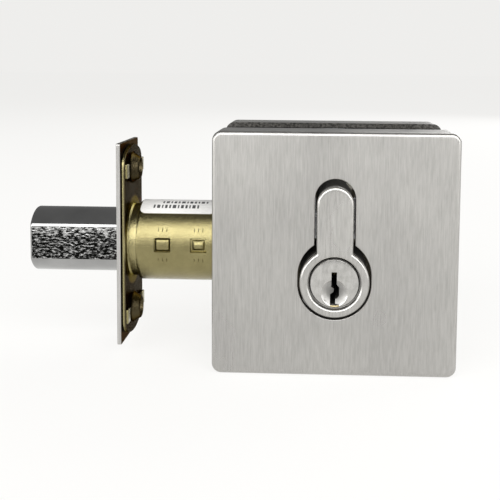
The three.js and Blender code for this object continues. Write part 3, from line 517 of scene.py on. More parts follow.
body_low, body_high = box_of("cylinder_body")
BARREL = (body_high[0] - body_low[0]) / 2
SLIM_HALF = 4.8 * MM
BODY_ROUND = 0.8 * MM
PLUG_BORE = 6.68
MOUTH_RADIUS = 7.6 * MM
BODY_ORIGIN = -0.002
angles = angle_grid(300, *junction_angles(BODY_ORIGIN, hub_z, BARREL, SLIM_HALF))


def body_outline(inset):
    return keyhole(angles, BODY_ORIGIN, hub_z, BARREL - inset, SLIM_HALF - inset, body_high[2] - inset)


def body_bore(radius):
    return ray_circle(angles, BODY_ORIGIN, hub_z, radius)


rings = []


def add_body_ring(reach, y):
    rings.append(ring_xz(angles, reach, BODY_ORIGIN, y))


add_body_ring(body_outline(0), body_high[1])
for turn in np.linspace(0, math.pi / 2, 7):
    y = body_low[1] + BODY_ROUND * (1 - math.sin(turn))
    add_body_ring(body_outline(BODY_ROUND * (1 - math.cos(turn))), y)
mouth = body_bore(MOUTH_RADIUS)
face = body_outline(BODY_ROUND)
for part in (0.05, 0.5, 0.95):
    add_body_ring(face + (mouth - face) * part, body_low[1])
for radius, depth in ((7.52, 0.0), (7.36, 0.06), (7.05, 0.34), (7.0, 0.4), (7.0, 1.7), (PLUG_BORE, 1.8)):
    add_body_ring(body_bore(radius * MM), body_low[1] + depth * MM)
add_body_ring(body_bore(PLUG_BORE * MM), body_high[1])


def paint_shade_inwards(material, near_y, far_y, darkest):
    """Paints shade into a recess: darkens and dulls a finish with depth, full colour at near_y, times the
    darkest from far_y on.
    """
    tree, surface, color = linked_color(material)
    painted_shade = spread(tree, own_axes(tree)[1], 0, 1, near_y, far_y)
    result = multiply_colors(tree, color, blend_colors(tree, painted_shade, (1, 1, 1), darkest))
    dull = tree.nodes.new("ShaderNodeMix")
    dull.inputs["B"].default_value = 1.0
    tree.links.new(painted_shade, dull.inputs["Factor"])
    tree.links.new(surface.inputs["Roughness"].links[0].from_socket, dull.inputs["A"])
    finish(tree, surface, result, dull.outputs["Result"])
    tree.links.new(spread(tree, painted_shade, 1, 0.2, 0, 1), surface.inputs["Metallic"])


nickel_body = brushed_nickel("nickel_body", (2600, 2600, 110), (0.54, 0.53, 0.505), (0.22, 0.32), 0.003)
# painted shade: the housing darkens and dulls where it runs back into the rose's opening, in the cover's
# shadow
paint_shade_inwards(nickel_body, rose_low[1] - 0.5 * MM, rose_low[1] + 0.5 * MM, (0.05, 0.045, 0.035))
place("cylinder_housing", grid_mesh("cylinder_housing", np.array(rings), close_path=True), nickel_body,
      "lock", "satin_nickel", "cylinder_body")

# ------------------------------------------------------------------ plug
# The part the key turns: a nickel-plated brass rod with a dished key entry and a crooked keyway that
# is broached in from the face and stops 2.5 mm short of its back end.

PLUG_RADIUS = 6.6 * MM
DISH_RADIUS = 3.52 * MM
DISH_DROP = 2.5 * MM
DISH_DEPTH = 1.5 * MM
KEYWAY = [
    (-0.8, 3.0), (-0.8, -0.7), (-0.95, -1.1), (-0.12, -1.75), (-0.2, -2.6), (-1.1, -3.2), (-1.1, -5.8),
    (1.3, -5.8), (1.3, -5.6), (0.28, -5.5), (0.28, -4.4), (0.75, -4.2), (1.3, -3.6), (1.3, -1.3),
    (0.63, -0.5), (0.63, 3.0)]


def carve(name, mesh, *cutters):
    """Cuts closed meshes out of a closed mesh, exactly, and returns the new mesh."""
    piece = new_object(name, mesh)
    helpers = []
    for number, cutter in enumerate(cutters):
        tool = new_object(f"{name}_tool", cutter)
        helpers.append(tool)
        modifier = piece.modifiers.new(f"cut_{number}", "BOOLEAN")
        modifier.operation = "DIFFERENCE"
        modifier.solver = "EXACT"
        modifier.object = tool
    graph = bpy.context.evaluated_depsgraph_get()
    graph.update()
    result = bpy.data.meshes.new_from_object(piece.evaluated_get(graph))
    for helper in (piece, *helpers):
        bpy.data.objects.remove(helper)
    return tidy_mesh(result)


def prism(name, outline, low_y, high_y, centre_z=0.0):
    """An outline in x and z carried from low_y to high_y, with its ends closed by one face each."""
    points = np.array(outline, float)
    count = len(points)
    front = np.stack([points[:, 0], np.full(count, low_y), points[:, 1] + centre_z], axis=-1)
    back = front + [0, high_y - low_y, 0]
    step = np.arange(count)
    sides = np.stack([step, np.roll(step, -1), np.roll(step, -1) + count, step + count], axis=-1)
    mesh = bpy.data.meshes.new(name)
    ends = [step[::-1].tolist(), (step + count).tolist()]
    mesh.from_pydata(np.concatenate([front, back]).tolist(), [], sides.tolist() + ends)
    return tidy_mesh(mesh)


angles = np.linspace(0, 2 * math.pi, 128, endpoint=False)


def plug_ring(radius, drop, y):
    """A circle of the plug's face: radius, how far its centre lies under the plug's, and its depth."""
    return np.stack([
        radius * np.cos(angles), np.full_like(angles, y), hub_z - drop + radius * np.sin(angles)], axis=-1)


face_y = plug_low[1]
rings = [plug_ring(0, 0, plug_high[1]), plug_ring(PLUG_RADIUS, 0, plug_high[1])]
for radius, depth in ((6.6, 2.0), (6.42, 1.9), (6.42, 0.3), (6.36, 0.12), (6.28, 0.03), (6.15, 0.0)):
    rings.append(plug_ring(radius * MM, 0, face_y + depth * MM))
rings.append(plug_ring(5.0 * MM, 1.13 * MM, face_y))
rings.append(plug_ring(DISH_RADIUS + 0.1 * MM, DISH_DROP, face_y))
for part in np.linspace(0.0, 1.0, 13):
    reach = 1 - part
    rings.append(plug_ring(
        DISH_RADIUS * reach, DISH_DROP, face_y + 0.05 * MM + DISH_DEPTH * (1 - reach ** 2)))
plug_blank = grid_mesh("plug_blank", np.array(rings))
keyway = prism("keyway", np.array(KEYWAY) * MM, face_y - 1 * MM, plug_high[1] - 2.5 * MM, hub_z)
nickel_plug = brushed_nickel("nickel_plug", (900, 900, 240), (0.58, 0.57, 0.545), (0.16, 0.28), 0.003)
# painted shade: the dish's floor and the keyway's walls darken and dull with depth
paint_shade_inwards(nickel_plug, face_y + 0.1 * MM, face_y + 1.9 * MM, (0.02, 0.018, 0.012))
tree, surface, plug_color = linked_color(nickel_plug)
plug_x, _, plug_z = own_axes(tree)
right_of_foot = spread(tree, plug_x, 0, 1, -1.15 * MM, -1.05 * MM)
left_of_foot = spread(tree, plug_x, 1, 0, 1.25 * MM, 1.35 * MM)
under_foot = spread(tree, plug_z, 1, 0, hub_z - 5.84 * MM, hub_z - 5.8 * MM)
in_foot = math_node(tree, "MULTIPLY", right_of_foot, math_node(tree, "MULTIPLY", left_of_foot, under_foot))
feed(tree, surface.inputs["Base Color"], blend_colors(tree, in_foot, plug_color, (0.36, 0.3, 0.17)))
place("key_plug_core", carve("key_plug_core", plug_blank, keyway), nickel_plug,
      "key_plug", "satin_nickel", "plug")

# ------------------------------------------------------------------ latch bolt
# A turned bar with a flat milled on each side, plated in bright chrome, its end edge lightly rounded.

bolt_low, bolt_high = box_of("bolt")
BOLT_RADIUS = (bolt_high[2] - bolt_low[2]) / 2
BOLT_FLAT = (bolt_high[1] - bolt_low[1]) / 2
BOLT_ROUND = 0.8 * MM
EDGE_BLEND = 1.9 * MM


def flatted_ring(x, radius, flat, blend=0.0, steps=32):
    """A circle cut to flats at y = +flat and -flat. Each edge between flat and circle is rounded by a
    smaller circle of radius blend that touches both: its centre is flat - blend from the middle plane
    and radius - blend from the axis."""
    tilt = math.acos((flat - blend) / (radius - blend))
    centre_z = (radius - blend) * math.sin(tilt)
    arc = np.linspace(tilt, math.pi - tilt, steps)
    edge = np.linspace(0, tilt, 9)[:-1]
    side = np.linspace(-centre_z, centre_z, 16)[:-1]
    right_up = np.stack([flat - blend + blend * np.cos(edge), centre_z + blend * np.sin(edge)], axis=-1)
    upper = np.stack([radius * np.cos(arc), radius * np.sin(arc)], axis=-1)
    left_up = right_up[::-1] * [-1, 1]
    left_side = np.stack([np.full_like(side, -flat), -side], axis=-1)
    right_side = np.stack([np.full_like(side, flat), side], axis=-1)
    half = np.concatenate([right_side, right_up, upper, left_up])
    points = np.concatenate([half, left_side, -right_up, -upper, -left_up])
    return np.concatenate([np.full((len(points), 1), x), points], axis=1)


tiny = 0.001
rings = [flatted_ring(bolt_low[0], BOLT_RADIUS * tiny, BOLT_FLAT * tiny)]
rings.append(flatted_ring(bolt_low[0], BOLT_RADIUS * 0.5, BOLT_FLAT * 0.5, EDGE_BLEND * 0.5))
for turn in np.linspace(0, math.pi / 2, 9):
    inset = BOLT_ROUND * (1 - math.sin(turn))
    x = bolt_low[0] + BOLT_ROUND * (1 - math.cos(turn))
    rings.append(flatted_ring(x, BOLT_RADIUS - inset, BOLT_FLAT - inset, EDGE_BLEND))
for part in (0.3, 0.6, 1.0):
    x = bolt_low[0] + (bolt_high[0] - bolt_low[0]) * part
    rings.append(flatted_ring(x, BOLT_RADIUS, BOLT_FLAT, EDGE_BLEND))
rings.append(flatted_ring(bolt_high[0], BOLT_RADIUS * tiny, BOLT_FLAT * tiny))
bolt_mesh = grid_mesh("bolt_bar_chromed", np.array(rings))
mark(bolt_mesh, "milled", np.abs(coordinates(bolt_mesh)[1]) > BOLT_FLAT - 0.02 * MM)
chrome, tree, surface = shader("bright_chrome", (0.60, 0.60, 0.60), 0.07)
ripple = noise(tree, 1250, detail=4.0, stretch=(0.36, 1, 1), roughness=0.55)
smear = noise(tree, 90, detail=3.0)
flats = attribute(tree, "milled")
bright = blend_colors(tree, spread(tree, smear), (0.33, 0.33, 0.325), (0.42, 0.42, 0.415))
# painted glints: the milled flats' base colour is speckled near black and over-bright white, to stand for
# sparkling reflections
glint = noise(tree, 1900, detail=5.0, stretch=(0.32, 1, 1), roughness=0.7)
# painted highlight: more bright specks towards the top edge of the flats
top_highlight = spread(tree, own_axes(tree)[2], 0, 0.07, 1.5 * MM, 4.5 * MM)
glint = spread(tree, math_node(tree, "ADD", glint, top_highlight), 0, 1, 0.51, 0.6)
painted_glints = blend_colors(tree, glint, (0.012, 0.012, 0.011), (1.5, 1.5, 1.5))
chrome_color = multiply_colors(tree, bright, blend_colors(tree, flats, (1, 1, 1), painted_glints))
finish(tree, surface, chrome_color, spread(tree, smear, 0.04, 0.12))
add_bump(tree, surface, math_node(tree, "MULTIPLY", ripple, flats), 0.24 * MM)
place("bolt_bar_chromed", bolt_mesh, chrome, "bolt_bar", "polished_chrome", "bolt")

# ------------------------------------------------------------------ faceplate
# A stamped plate, satin nickel outside, screwed flush in the door's edge. Two countersunk holes.

plate_low, plate_high = box_of("faceplate")
plate_z = (plate_low[2] + plate_high[2]) / 2
SCREW_OFFSET = 20.7 * MM
HOLE_RADIUS, HOLE_FLAT = BOLT_RADIUS + 0.3 * MM, BOLT_FLAT + 0.3 * MM


def plate_rings(low, high, corner, edge, hole_radius, hole_flat, crown=0.0):
    """Carries a plate's section round it: rounded rectangle outside, the bolt's own outline inside."""
    turn = flatted_ring(0.0, hole_radius, hole_flat)
    around = np.arctan2(turn[:, 2], turn[:, 1])
    hole = np.hypot(turn[:, 1], turn[:, 2])
    z0 = (low[2] + high[2]) / 2
    half_y, half_z = (high[1] - low[1]) / 2, (high[2] - low[2]) / 2
    corners = corner_angles(z0, half_y, half_z - crown * 0.8, corner)
    grid = angle_grid(120, *around, *corners)
    order = np.argsort(around)
    hole_reach = np.interp(grid, around[order], hole[order], period=2 * math.pi)
    outer = rounded_square(grid, 0.0, z0, half_y, half_z, corner, crown)
    inner_corner = max(corner - edge, 0.05 * MM)
    inset = rounded_square(grid, 0.0, z0, half_y - edge, half_z - edge, inner_corner, crown)
    margin = 0.08 * MM

    def ring(reach, x):
        return np.stack([np.full_like(grid, x), reach * np.cos(grid), reach * np.sin(grid)], axis=-1)

    return np.array([
        ring(hole_reach, low[0]), ring(inset - margin, low[0]), ring(inset, low[0]),
        ring((inset + outer) / 2, low[0] + edge * 0.3), ring(outer, low[0] + edge),
        ring(outer, high[0] - edge), ring(inset, high[0]), ring(inset - margin, high[0]),
        ring(hole_reach, high[0])])


x0, x1 = plate_low[0], plate_high[0]
sinks = []
for side in (-1, 1):
    z = plate_z + side * SCREW_OFFSET
    sink_profile = steps_from(x0, (0, -1), (5.0, -1), (4.7, 0)) + steps_from(x1, (3.7, 0), (3.6, 1), (0, 1))
    sinks.append(turned("sink", sink_profile, "x", (0, z), 64))
plate_mesh = grid_mesh(
    "plate", plate_rings(plate_low, plate_high, 0.5 * MM, 0.12 * MM, HOLE_RADIUS, HOLE_FLAT),
    close_path=True)
nickel_plate = brushed_nickel("nickel_plate", (1800, 1800, 60), (0.56, 0.55, 0.53), (0.26, 0.38), 0.004)
tree, surface, front_color = linked_color(nickel_plate)
surface.inputs["Specular Tint"].default_value = (0.3, 0.26, 0.2, 1)
clouds = spread(tree, noise(tree, 160, 4.0))
# the plate's back face is coloured a clouded dark brown
back_tone = blend_colors(tree, clouds, (0.065, 0.054, 0.034), (0.10, 0.085, 0.056))
on_back = spread(tree, own_axes(tree)[0], 0, 1, x1 - 0.12 * MM, x1 - 0.05 * MM)
feed(tree, surface.inputs["Base Color"], blend_colors(tree, on_back, front_color, back_tone))
place("latch_faceplate", carve("latch_faceplate", plate_mesh, *sinks), nickel_plate,
      "lock", "satin_nickel", "faceplate")

# ------------------------------------------------------------------ backing plate
# Pressed from thin steel and passivated yellow: screw seats drawn into cones, and a collar for the
# tube. The faceplate snaps over it, and four small tabs hold the two together.

back_low, back_high = box_of("backing_plate")
BACKING_THICK = 0.9 * MM
backing_x = back_low[0]
backing_back = backing_x + BACKING_THICK


def passivated(name, dark, light, depth=0.12, grain=2700, roughness=(0.12, 0.24)):
    """Yellow passivated zinc over pressed steel: cloudy tint, a fine orange-peel grain, tiny pits."""
    material, tree, surface = shader(name, light, 0.2)
    cloud = noise(tree, 130, detail=3.0)
    grains = noise(tree, grain, detail=4.0, roughness=0.6)
    pits = noise(tree, grain * 2.2, detail=3.0)
    color = blend_colors(tree, spread(tree, cloud), dark, light)
    speckle = blend_colors(tree, spread(tree, pits, 0, 1, 0.3, 0.5), (0.72, 0.7, 0.62), (1, 1, 1))
    finish(tree, surface, multiply_colors(tree, color, speckle), spread(tree, cloud, *roughness))
    add_bump(tree, surface, grains, depth * MM, 0.9)
    return material


yellow_zinc = passivated("yellow_zinc", (0.24, 0.208, 0.10), (0.32, 0.284, 0.14))
# painted shade: this material is a dark, shaded copy of the yellow zinc, with dimmed reflections; the flange
# and its screw seats wear it, and only the collar and the flange's front edge keep the yellow, where they
# catch the light
shaded_zinc = passivated("shaded_zinc", (0.065, 0.052, 0.028), (0.10, 0.082, 0.046))
tree, surface, shaded_color = linked_color(shaded_zinc)
surface.inputs["Specular Tint"].default_value = (0.18, 0.15, 0.09, 1)
flange_x, flange_y, flange_z = own_axes(tree)
y_squared = math_node(tree, "MULTIPLY", flange_y, flange_y)
z_squared = math_node(tree, "MULTIPLY", flange_z, flange_z)
from_axis = math_node(tree, "SQRT", math_node(tree, "ADD", y_squared, z_squared))
near_collar = spread(tree, from_axis, 1, 0, 12.4 * MM, 13.2 * MM)
near_front = spread(tree, flange_x, 1, 0, backing_x + 0.35 * MM, backing_x + 0.75 * MM)
unshaded_part = math_node(tree, "MAXIMUM", near_collar, near_front)
feed(tree, surface.inputs["Base Color"], blend_colors(tree, unshaded_part, shaded_color, (0.34, 0.3, 0.15)))
flange_low = np.array([backing_x, back_low[1], back_low[2]])
flange_high = np.array([backing_back, back_high[1], back_high[2]])
flange = grid_mesh(
    "flange", plate_rings(flange_low, flange_high, 2.5 * MM, 0.15 * MM, HOLE_RADIUS, HOLE_FLAT, 3.2 * MM),
    close_path=True)
seats, clearances = [], []
for side in (-1, 1):
    z = plate_z + side * SCREW_OFFSET
    seats.append(turned("seat", steps_from(
        backing_back, (4.9, -0.02), (4.45, 0.12), (4.2, 0.4), (3.45, 1.7), (3.2, 2.08), (2.95, 2.2),
        (2.6, 2.2), (2.5, 1.9), (3.6, -0.8), (3.9, -0.8), (4.0, -0.4)), "x", (0, z), 64, closed=True))
    clearances.append(turned("clear", steps_from(
        backing_back, (0, -1.9), (3.8, -1.9), (3.8, 1), (0, 1)), "x", (0, z), 64))
tube_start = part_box("latch_tube")[0][0]
collar = turned("collar", [
    *steps_from(backing_back, (11.5, -0.02), (10.85, 0.15), (10.5, 0.6)),
    *steps_from(tube_start, (10.5, 0), (9.75, 0)), *steps_from(backing_back, (9.75, -0.02))],
    "x", (0, 0), 128, closed=True)
flange = carve("flange", flange, *clearances)
place("backing_flange", join_meshes("backing_flange", flange, *seats, collar), shaded_zinc,
      "lock", "yellow_zinc", "backing_plate")
for node in [name for name in nodes if name.startswith("faceplate_tab")]:
    low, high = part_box(node)
    place(node + "_folded", block(node, low, high, 0.25 * MM), yellow_zinc, "lock", "yellow_zinc", node)

# ------------------------------------------------------------------ latch tube and inner sleeve
# A rolled steel tube, yellow passivated, with two punched windows; the sleeve inside it has two pressed
# lugs that stand in them and set the backset. Short tick marks are stamped beside the windows.

tube_low, tube_high = box_of("latch_tube")
TUBE_RADIUS = (tube_high[2] - tube_low[2]) / 2
TUBE_WALL = 0.95 * MM
WINDOW_Z = 0.5 * MM
WINDOW_HALF = 2.05 * MM
WINDOWS = ((tube_start + 5.3 * MM, tube_start + 10.0 * MM), (tube_start + 15.5 * MM, tube_start + 20.2 * MM))
profile = [(TUBE_RADIUS - 0.55 * MM, tube_low[0]), (TUBE_RADIUS - 0.2 * MM, tube_low[0] + 0.12 * MM),
           (TUBE_RADIUS, tube_low[0] + 0.6 * MM)]
profile += [(TUBE_RADIUS, x) for x in np.linspace(tube_low[0] + 1 * MM, tube_high[0] - 0.1 * MM, 12)]
profile += [(TUBE_RADIUS - 0.1 * MM, tube_high[0]), (TUBE_RADIUS - TUBE_WALL, tube_high[0]),
            (TUBE_RADIUS - TUBE_WALL, tube_low[0])]
tube_blank = turned("tube", profile, "x", (0, 0), 160, closed=True)
punches = [
    block("punch", (x0, -TUBE_RADIUS - 1 * MM, WINDOW_Z - WINDOW_HALF),
          (x1, -6 * MM, WINDOW_Z + WINDOW_HALF), 0.3 * MM)
    for x0, x1 in WINDOWS]
TICK_DEPTH = 0.24 * MM
ticks = []
for centre_x in (WINDOWS[0][0] + 2.4 * MM, WINDOWS[1][0] + 2.4 * MM):
    for offset in (-1.2, 0.0, 1.2):
        for side, height in ((1, 1.5 * MM), (-1, 1.2 * MM)):
            x = centre_x + offset * MM
            z = WINDOW_Z + side * (WINDOW_HALF + 2.4 * MM)
            surface_y = -math.sqrt(TUBE_RADIUS ** 2 - z ** 2)
            ticks.append(block(
                "tick", (x - 0.12 * MM, surface_y - 1 * MM, z - height / 2),
                (x + 0.12 * MM, surface_y + TICK_DEPTH, z + height / 2), 0.1 * MM))
place("latch_tube_rolled", carve("latch_tube_rolled", tube_blank, *punches, *ticks), yellow_zinc,
      "lock", "yellow_zinc", "latch_tube")

sleeve_low, sleeve_high = box_of("inner_sleeve")
SLEEVE_OUTER = TUBE_RADIUS - TUBE_WALL - 0.1 * MM
SLEEVE_INNER = SLEEVE_OUTER - 0.8 * MM
sleeve = turned("sleeve", [
    (SLEEVE_OUTER, sleeve_low[0]), (SLEEVE_OUTER, sleeve_high[0]), (SLEEVE_INNER, sleeve_high[0]),
    (SLEEVE_INNER, sleeve_low[0])], "x", (0, 0), 128, closed=True)


def closed_sheet(name, front, back, sharp_degrees):
    """A closed sheet from two grids of points of one size: its front, its back and a skirt between."""
    rows, columns = front.shape[:2]
    index = np.arange(rows * columns).reshape(rows, columns)
    faces = np.stack([index[:-1, :-1], index[1:, :-1], index[1:, 1:], index[:-1, 1:]], axis=-1).reshape(-1, 4)
    rim = np.concatenate([index[0, :], index[1:, -1], index[-1, -2::-1], index[-2:0:-1, 0]])
    skirt = np.stack([rim, np.roll(rim, -1), np.roll(rim, -1) + index.size, rim + index.size], axis=-1)
    mesh = bpy.data.meshes.new(name)
    mesh.from_pydata(
        np.concatenate([front.reshape(-1, 3), back.reshape(-1, 3)]).tolist(), [],
        faces.tolist() + (faces[:, ::-1] + index.size).tolist() + skirt.tolist())
    return tidy_mesh(mesh, sharp_degrees)


def pressed_lug(name, x0, x1, z0, z1, base, rise, crown):
    """A pressed lug: a pillow over a rectangle, curved with the sleeve, its top raised by rise in a
    flat-topped hump, and crowned along z by crown."""
    u = np.linspace(-1, 1, 25)
    grid_u, grid_v = np.meshgrid(u, u, indexing="ij")
    hump = (1 - np.abs(grid_u) ** 6) * (1 - np.abs(grid_v) ** 6)
    x = (x0 + x1) / 2 + grid_u * (x1 - x0) / 2
    z = (z0 + z1) / 2 + grid_v * (z1 - z0) / 2
    radius = base + rise * hump + crown * (1 - grid_v ** 2) * (1 - grid_u ** 4)
    y = -np.sqrt(np.maximum(radius ** 2 - z ** 2, 0))
    points = np.stack([x, y, z], axis=-1)
    return closed_sheet(name, points, points + [0, 0.6 * MM, 0], 50)


lugs = []
for (x0, x1), gap, rise, crown in ((WINDOWS[0], 0.18, 0.75, 0.0), (WINDOWS[1], 0.6, 0.1, 0.5)):
    inset = gap * MM
    lugs.append(pressed_lug(
        "lug", x0 + inset, x1 - inset, WINDOW_Z - WINDOW_HALF + inset, WINDOW_Z + WINDOW_HALF - inset,
        SLEEVE_OUTER, rise * MM, crown * MM))
place("inner_sleeve_rolled", join_meshes("inner_sleeve_rolled", sleeve, *lugs), yellow_zinc,
      "lock", "yellow_zinc", "inner_sleeve")

# ------------------------------------------------------------------ label
# A pale paper label with rounded corners, wrapped over the top of the tube, and two rows of grey bars.

label_low, label_high = box_of("tube_label")
LABEL_CORNER = 1.6 * MM
LABEL_FROM, LABEL_TO = math.radians(50), math.radians(130)


def wrapped_sheet(name, x0, x1, turn0, turn1, radius, thick, corner):
    """A sheet wrapped on a cylinder: x runs along it and the turn across it; near each end the turn's
    reach shrinks by a quarter circle, which rounds the corners."""
    u = np.concatenate([
        corner * (1 - np.cos(np.linspace(0, math.pi / 2, 9))),
        np.linspace(corner, x1 - x0 - corner, 15)[1:-1],
        (x1 - x0) - corner * (1 - np.cos(np.linspace(math.pi / 2, 0, 9)))])
    end = np.minimum(u, (x1 - x0) - u)
    cut = corner - np.sqrt(np.maximum(corner ** 2 - np.maximum(corner - end, 0) ** 2, 0))
    half = (turn1 - turn0) / 2 - cut / radius
    v = np.linspace(-1, 1, 41)
    turn = (turn0 + turn1) / 2 + half[:, None] * v[None, :]
    x = np.repeat((x0 + u)[:, None], len(v), axis=1)
    outside, inside = [
        np.stack([x, -r * np.cos(turn), r * np.sin(turn)], axis=-1) for r in (radius + thick, radius)]
    return closed_sheet(name, outside, inside, 60)


paper, tree, surface = shader("label_paper", (0.86, 0.855, 0.84), 0.38, 0.0)
fibre = noise(tree, 900, detail=4.0, stretch=(1, 3, 3))
paper_color = blend_colors(tree, spread(tree, fibre), (0.8, 0.79, 0.765), (0.9, 0.89, 0.865))
finish(tree, surface, paper_color, spread(tree, fibre, 0.3, 0.46))
add_bump(tree, surface, fibre, 0.01 * MM, 0.5)
label_sheet = wrapped_sheet("label", label_low[0], label_high[0], LABEL_FROM, LABEL_TO,
                            TUBE_RADIUS + 0.02 * MM, 0.1 * MM, LABEL_CORNER)
place("tube_label_wrapped", label_sheet, paper, "lock", "label_paper", "tube_label")
ink, tree, surface = shader("label_ink", (0.05, 0.05, 0.05), 0.5, 0.0)
blot = noise(tree, 2500, detail=3.0)
ink_color = blend_colors(tree, spread(tree, blot), (0.04, 0.04, 0.04), (0.10, 0.10, 0.10))
finish(tree, surface, ink_color, spread(tree, blot, 0.4, 0.6))
bars = []
BAR_WIDTHS = (0.5, 0.9, 0.4, 0.7, 0.5, 1.0, 0.4, 0.8, 0.6, 0.4, 0.9, 0.5)
for from_turn, to_turn, indent in ((60.5, 68.5, 3.6), (73.5, 80.5, 6.0)):
    bar_x = label_low[0] + indent * MM
    for width in BAR_WIDTHS:
        bars.append(wrapped_sheet(
            "bar", bar_x, bar_x + width * MM, math.radians(from_turn), math.radians(to_turn),
            TUBE_RADIUS + 0.12 * MM, 0.015 * MM, 0.08 * MM))
        bar_x += (width + 0.5) * MM
place("label_bars", join_meshes("label_bars", *bars), ink, "lock", "label_paper")

# ------------------------------------------------------------------ thumbturn
# A cast turn for the room side: a round foot that hides the rose's hole, and a wing to grip.

turn_low, turn_high = box_of("thumbturn")
foot_y = inside_high[1] + 0.6 * MM
foot_top = foot_y + 3.2 * MM
foot = turned("foot", [
    *steps_from(turn_low[1], (0, 0), (5.6, 0)), *steps_from(inside_high[1], (5.6, -2.8), (6.5, -2.8)),
    *steps_from(foot_y, (6.5, 0), (11.0, 0), (11.3, 0.1), (11.5, 0.5)),
    *steps_from(foot_top, (11.5, -0.9), (11.3, -0.4), (10.9, -0.1), (10.4, 0), (0, 0))], "y", (0, hub_z), 128)
WING_HALF_X = (turn_high[0] - turn_low[0]) / 2
WING_HALF_Z = 3.5 * MM
WING_EDGE = 1.1 * MM
WING_CORNER = 2.4 * MM
WAIST = 0.86


def wing_ring(half_x, half_z, corner, y):
    """A round rectangle about the thumbturn's axis, its corner no larger than its half height."""
    return round_rectangle((0, hub_z), half_x, half_z, min(corner, half_z * 0.98), y, 12)


rings = [wing_ring(0.01 * MM, 0.01 * MM, 0.005 * MM, foot_top - 0.5 * MM)]
for part in np.linspace(0, 1, 12):
    y = foot_top - 0.5 * MM + (turn_high[1] - WING_EDGE - foot_top + 0.5 * MM) * part
    narrow = 1 - (1 - WAIST) * math.sin(math.pi * part) ** 2
    rings.append(wing_ring(WING_HALF_X, WING_HALF_Z * narrow, WING_CORNER, y))
for turn in np.linspace(0, math.pi / 2, 7)[1:]:
    inset = WING_EDGE * (1 - math.cos(turn))
    y = turn_high[1] - WING_EDGE * (1 - math.sin(turn))
    rings.append(wing_ring(WING_HALF_X - inset, WING_HALF_Z - inset, WING_CORNER - inset, y))
rings.append(wing_ring(0.01 * MM, 0.01 * MM, 0.005 * MM, turn_high[1]))
wing = grid_mesh("wing", np.array(rings))
place("thumbturn_cast", join_meshes("thumbturn_cast", foot, wing), nickel_brushed,
      "turn_knob", "satin_nickel", "thumbturn")

# ------------------------------------------------------------------ through posts
# Turned steel posts, staked in the exterior rose and tapped at the far end for the through screws.

def bright_steel(name, base, roughness=(0.22, 0.38)):
    """Bright zinc plate on steel: faint clouds, handling scratches and a fine bump."""
    material, tree, surface = shader(name, base, 0.3)
    cloud = noise(tree, 220, detail=4.0)
    scratch = noise(tree, 1.0, detail=3.0, stretch=(900, 160, 900))
    dark = tuple(channel * 0.78 for channel in base)
    color = blend_colors(tree, spread(tree, cloud), dark, base)
    finish(tree, surface, color, spread(tree, scratch, *roughness))
    add_bump(tree, surface, scratch, 0.006 * MM, 0.6)
    return material


steel = bright_steel("bright_steel", (0.56, 0.565, 0.57))
spring_steel = bright_steel("spring_steel", (0.30, 0.305, 0.315), (0.28, 0.42))
brass = bright_steel("machined_brass", (0.62, 0.47, 0.20), (0.2, 0.34))
case_zinc = passivated("case_zinc", (0.34, 0.31, 0.24), (0.48, 0.45, 0.35), 0.03, 900, (0.3, 0.45))
nylon, tree, surface = shader("black_nylon", (0.03, 0.03, 0.03), 0.55, 0.0)
tree.links.new(spread(tree, noise(tree, 700, 3.0), 0.45, 0.65), surface.inputs["Roughness"])

for end in ("upper", "lower"):
    low, high = box_of(f"fixing_post_{end}")
    radius = (high[0] - low[0]) / 2
    post = turned("post", [
        (0, low[1]), (1.85 * MM, low[1]), (1.85 * MM, post_seat_y), (radius, post_seat_y),
        (radius, high[1] - 0.4 * MM), (radius - 0.4 * MM, high[1]), (1.75 * MM, high[1]),
        (1.75 * MM, high[1] - 14 * MM), (0, high[1] - 14 * MM)], "y", centre_xz(f"fixing_post_{end}"), 64)
    place(f"through_post_{end}", post, steel, "lock", "zinc_steel", f"fixing_post_{end}")

# ------------------------------------------------------------------ interior plate
# A round steel plate behind the interior rose; its pressed ring bears on the door round the cross bore.

inner_low, inner_high = box_of("interior_plate")
plate_radius = (inner_high[0] - inner_low[0]) / 2
plate_y = inner_high[1] - 1.6 * MM
disc = turned("disc", [
    *steps_from(plate_y, (0, 0), (28.2, 0)),
    *steps_from(inner_low[1], (28.2, 0.3), (28.5, 0), (29.1, 0), (29.4, 0.3)),
    *steps_from(plate_y, (29.4, 0)),
    (plate_radius - 0.2 * MM, plate_y), (plate_radius, plate_y + 0.2 * MM),
    (plate_radius, inner_high[1] - 0.2 * MM), (plate_radius - 0.2 * MM, inner_high[1]),
    (0, inner_high[1])], "y", (0, rose_centre[2]), 160)
drills = [turned("drill", steps_from(0, (0, 0), (7.5, 0), (7.5, 40), (0, 40)), "y", (0, hub_z), 64)]
for end in ("upper", "lower"):
    drills.append(turned("drill", steps_from(0, (0, 0), (2.2, 0), (2.2, 40), (0, 40)), "y",
                         centre_xz(f"fixing_post_{end}"), 40))
place("interior_plate_pressed", carve("interior_plate_pressed", disc, *drills), steel,
      "lock", "zinc_steel", "interior_plate")

# ------------------------------------------------------------------ inner parts
# Screws, pins, springs, hub, crank and case keep their CAD shape, and take the finish of their metal.

FINISH = {
    "zinc_steel": steel, "brass": brass, "spring_steel": spring_steel, "dark_zinc": case_zinc,
    "black_nylon": nylon, "yellow_zinc": yellow_zinc, "satin_nickel": nickel_brushed,
    "polished_chrome": chrome, "label_paper": paper}
slot_of = {entry["node"]: entry["material_slot"] for entry in frame["record"]["subparts"]}
for name, node in nodes.items():
    for material_slot in node.material_slots:
        material_slot.material = FINISH[slot_of[name]]

# ------------------------------------------------------------------ floor and light
# A plain pale table that glows evenly, in a dim even room with a white backdrop: one wide soft box high
# in front, one at each side and one behind.

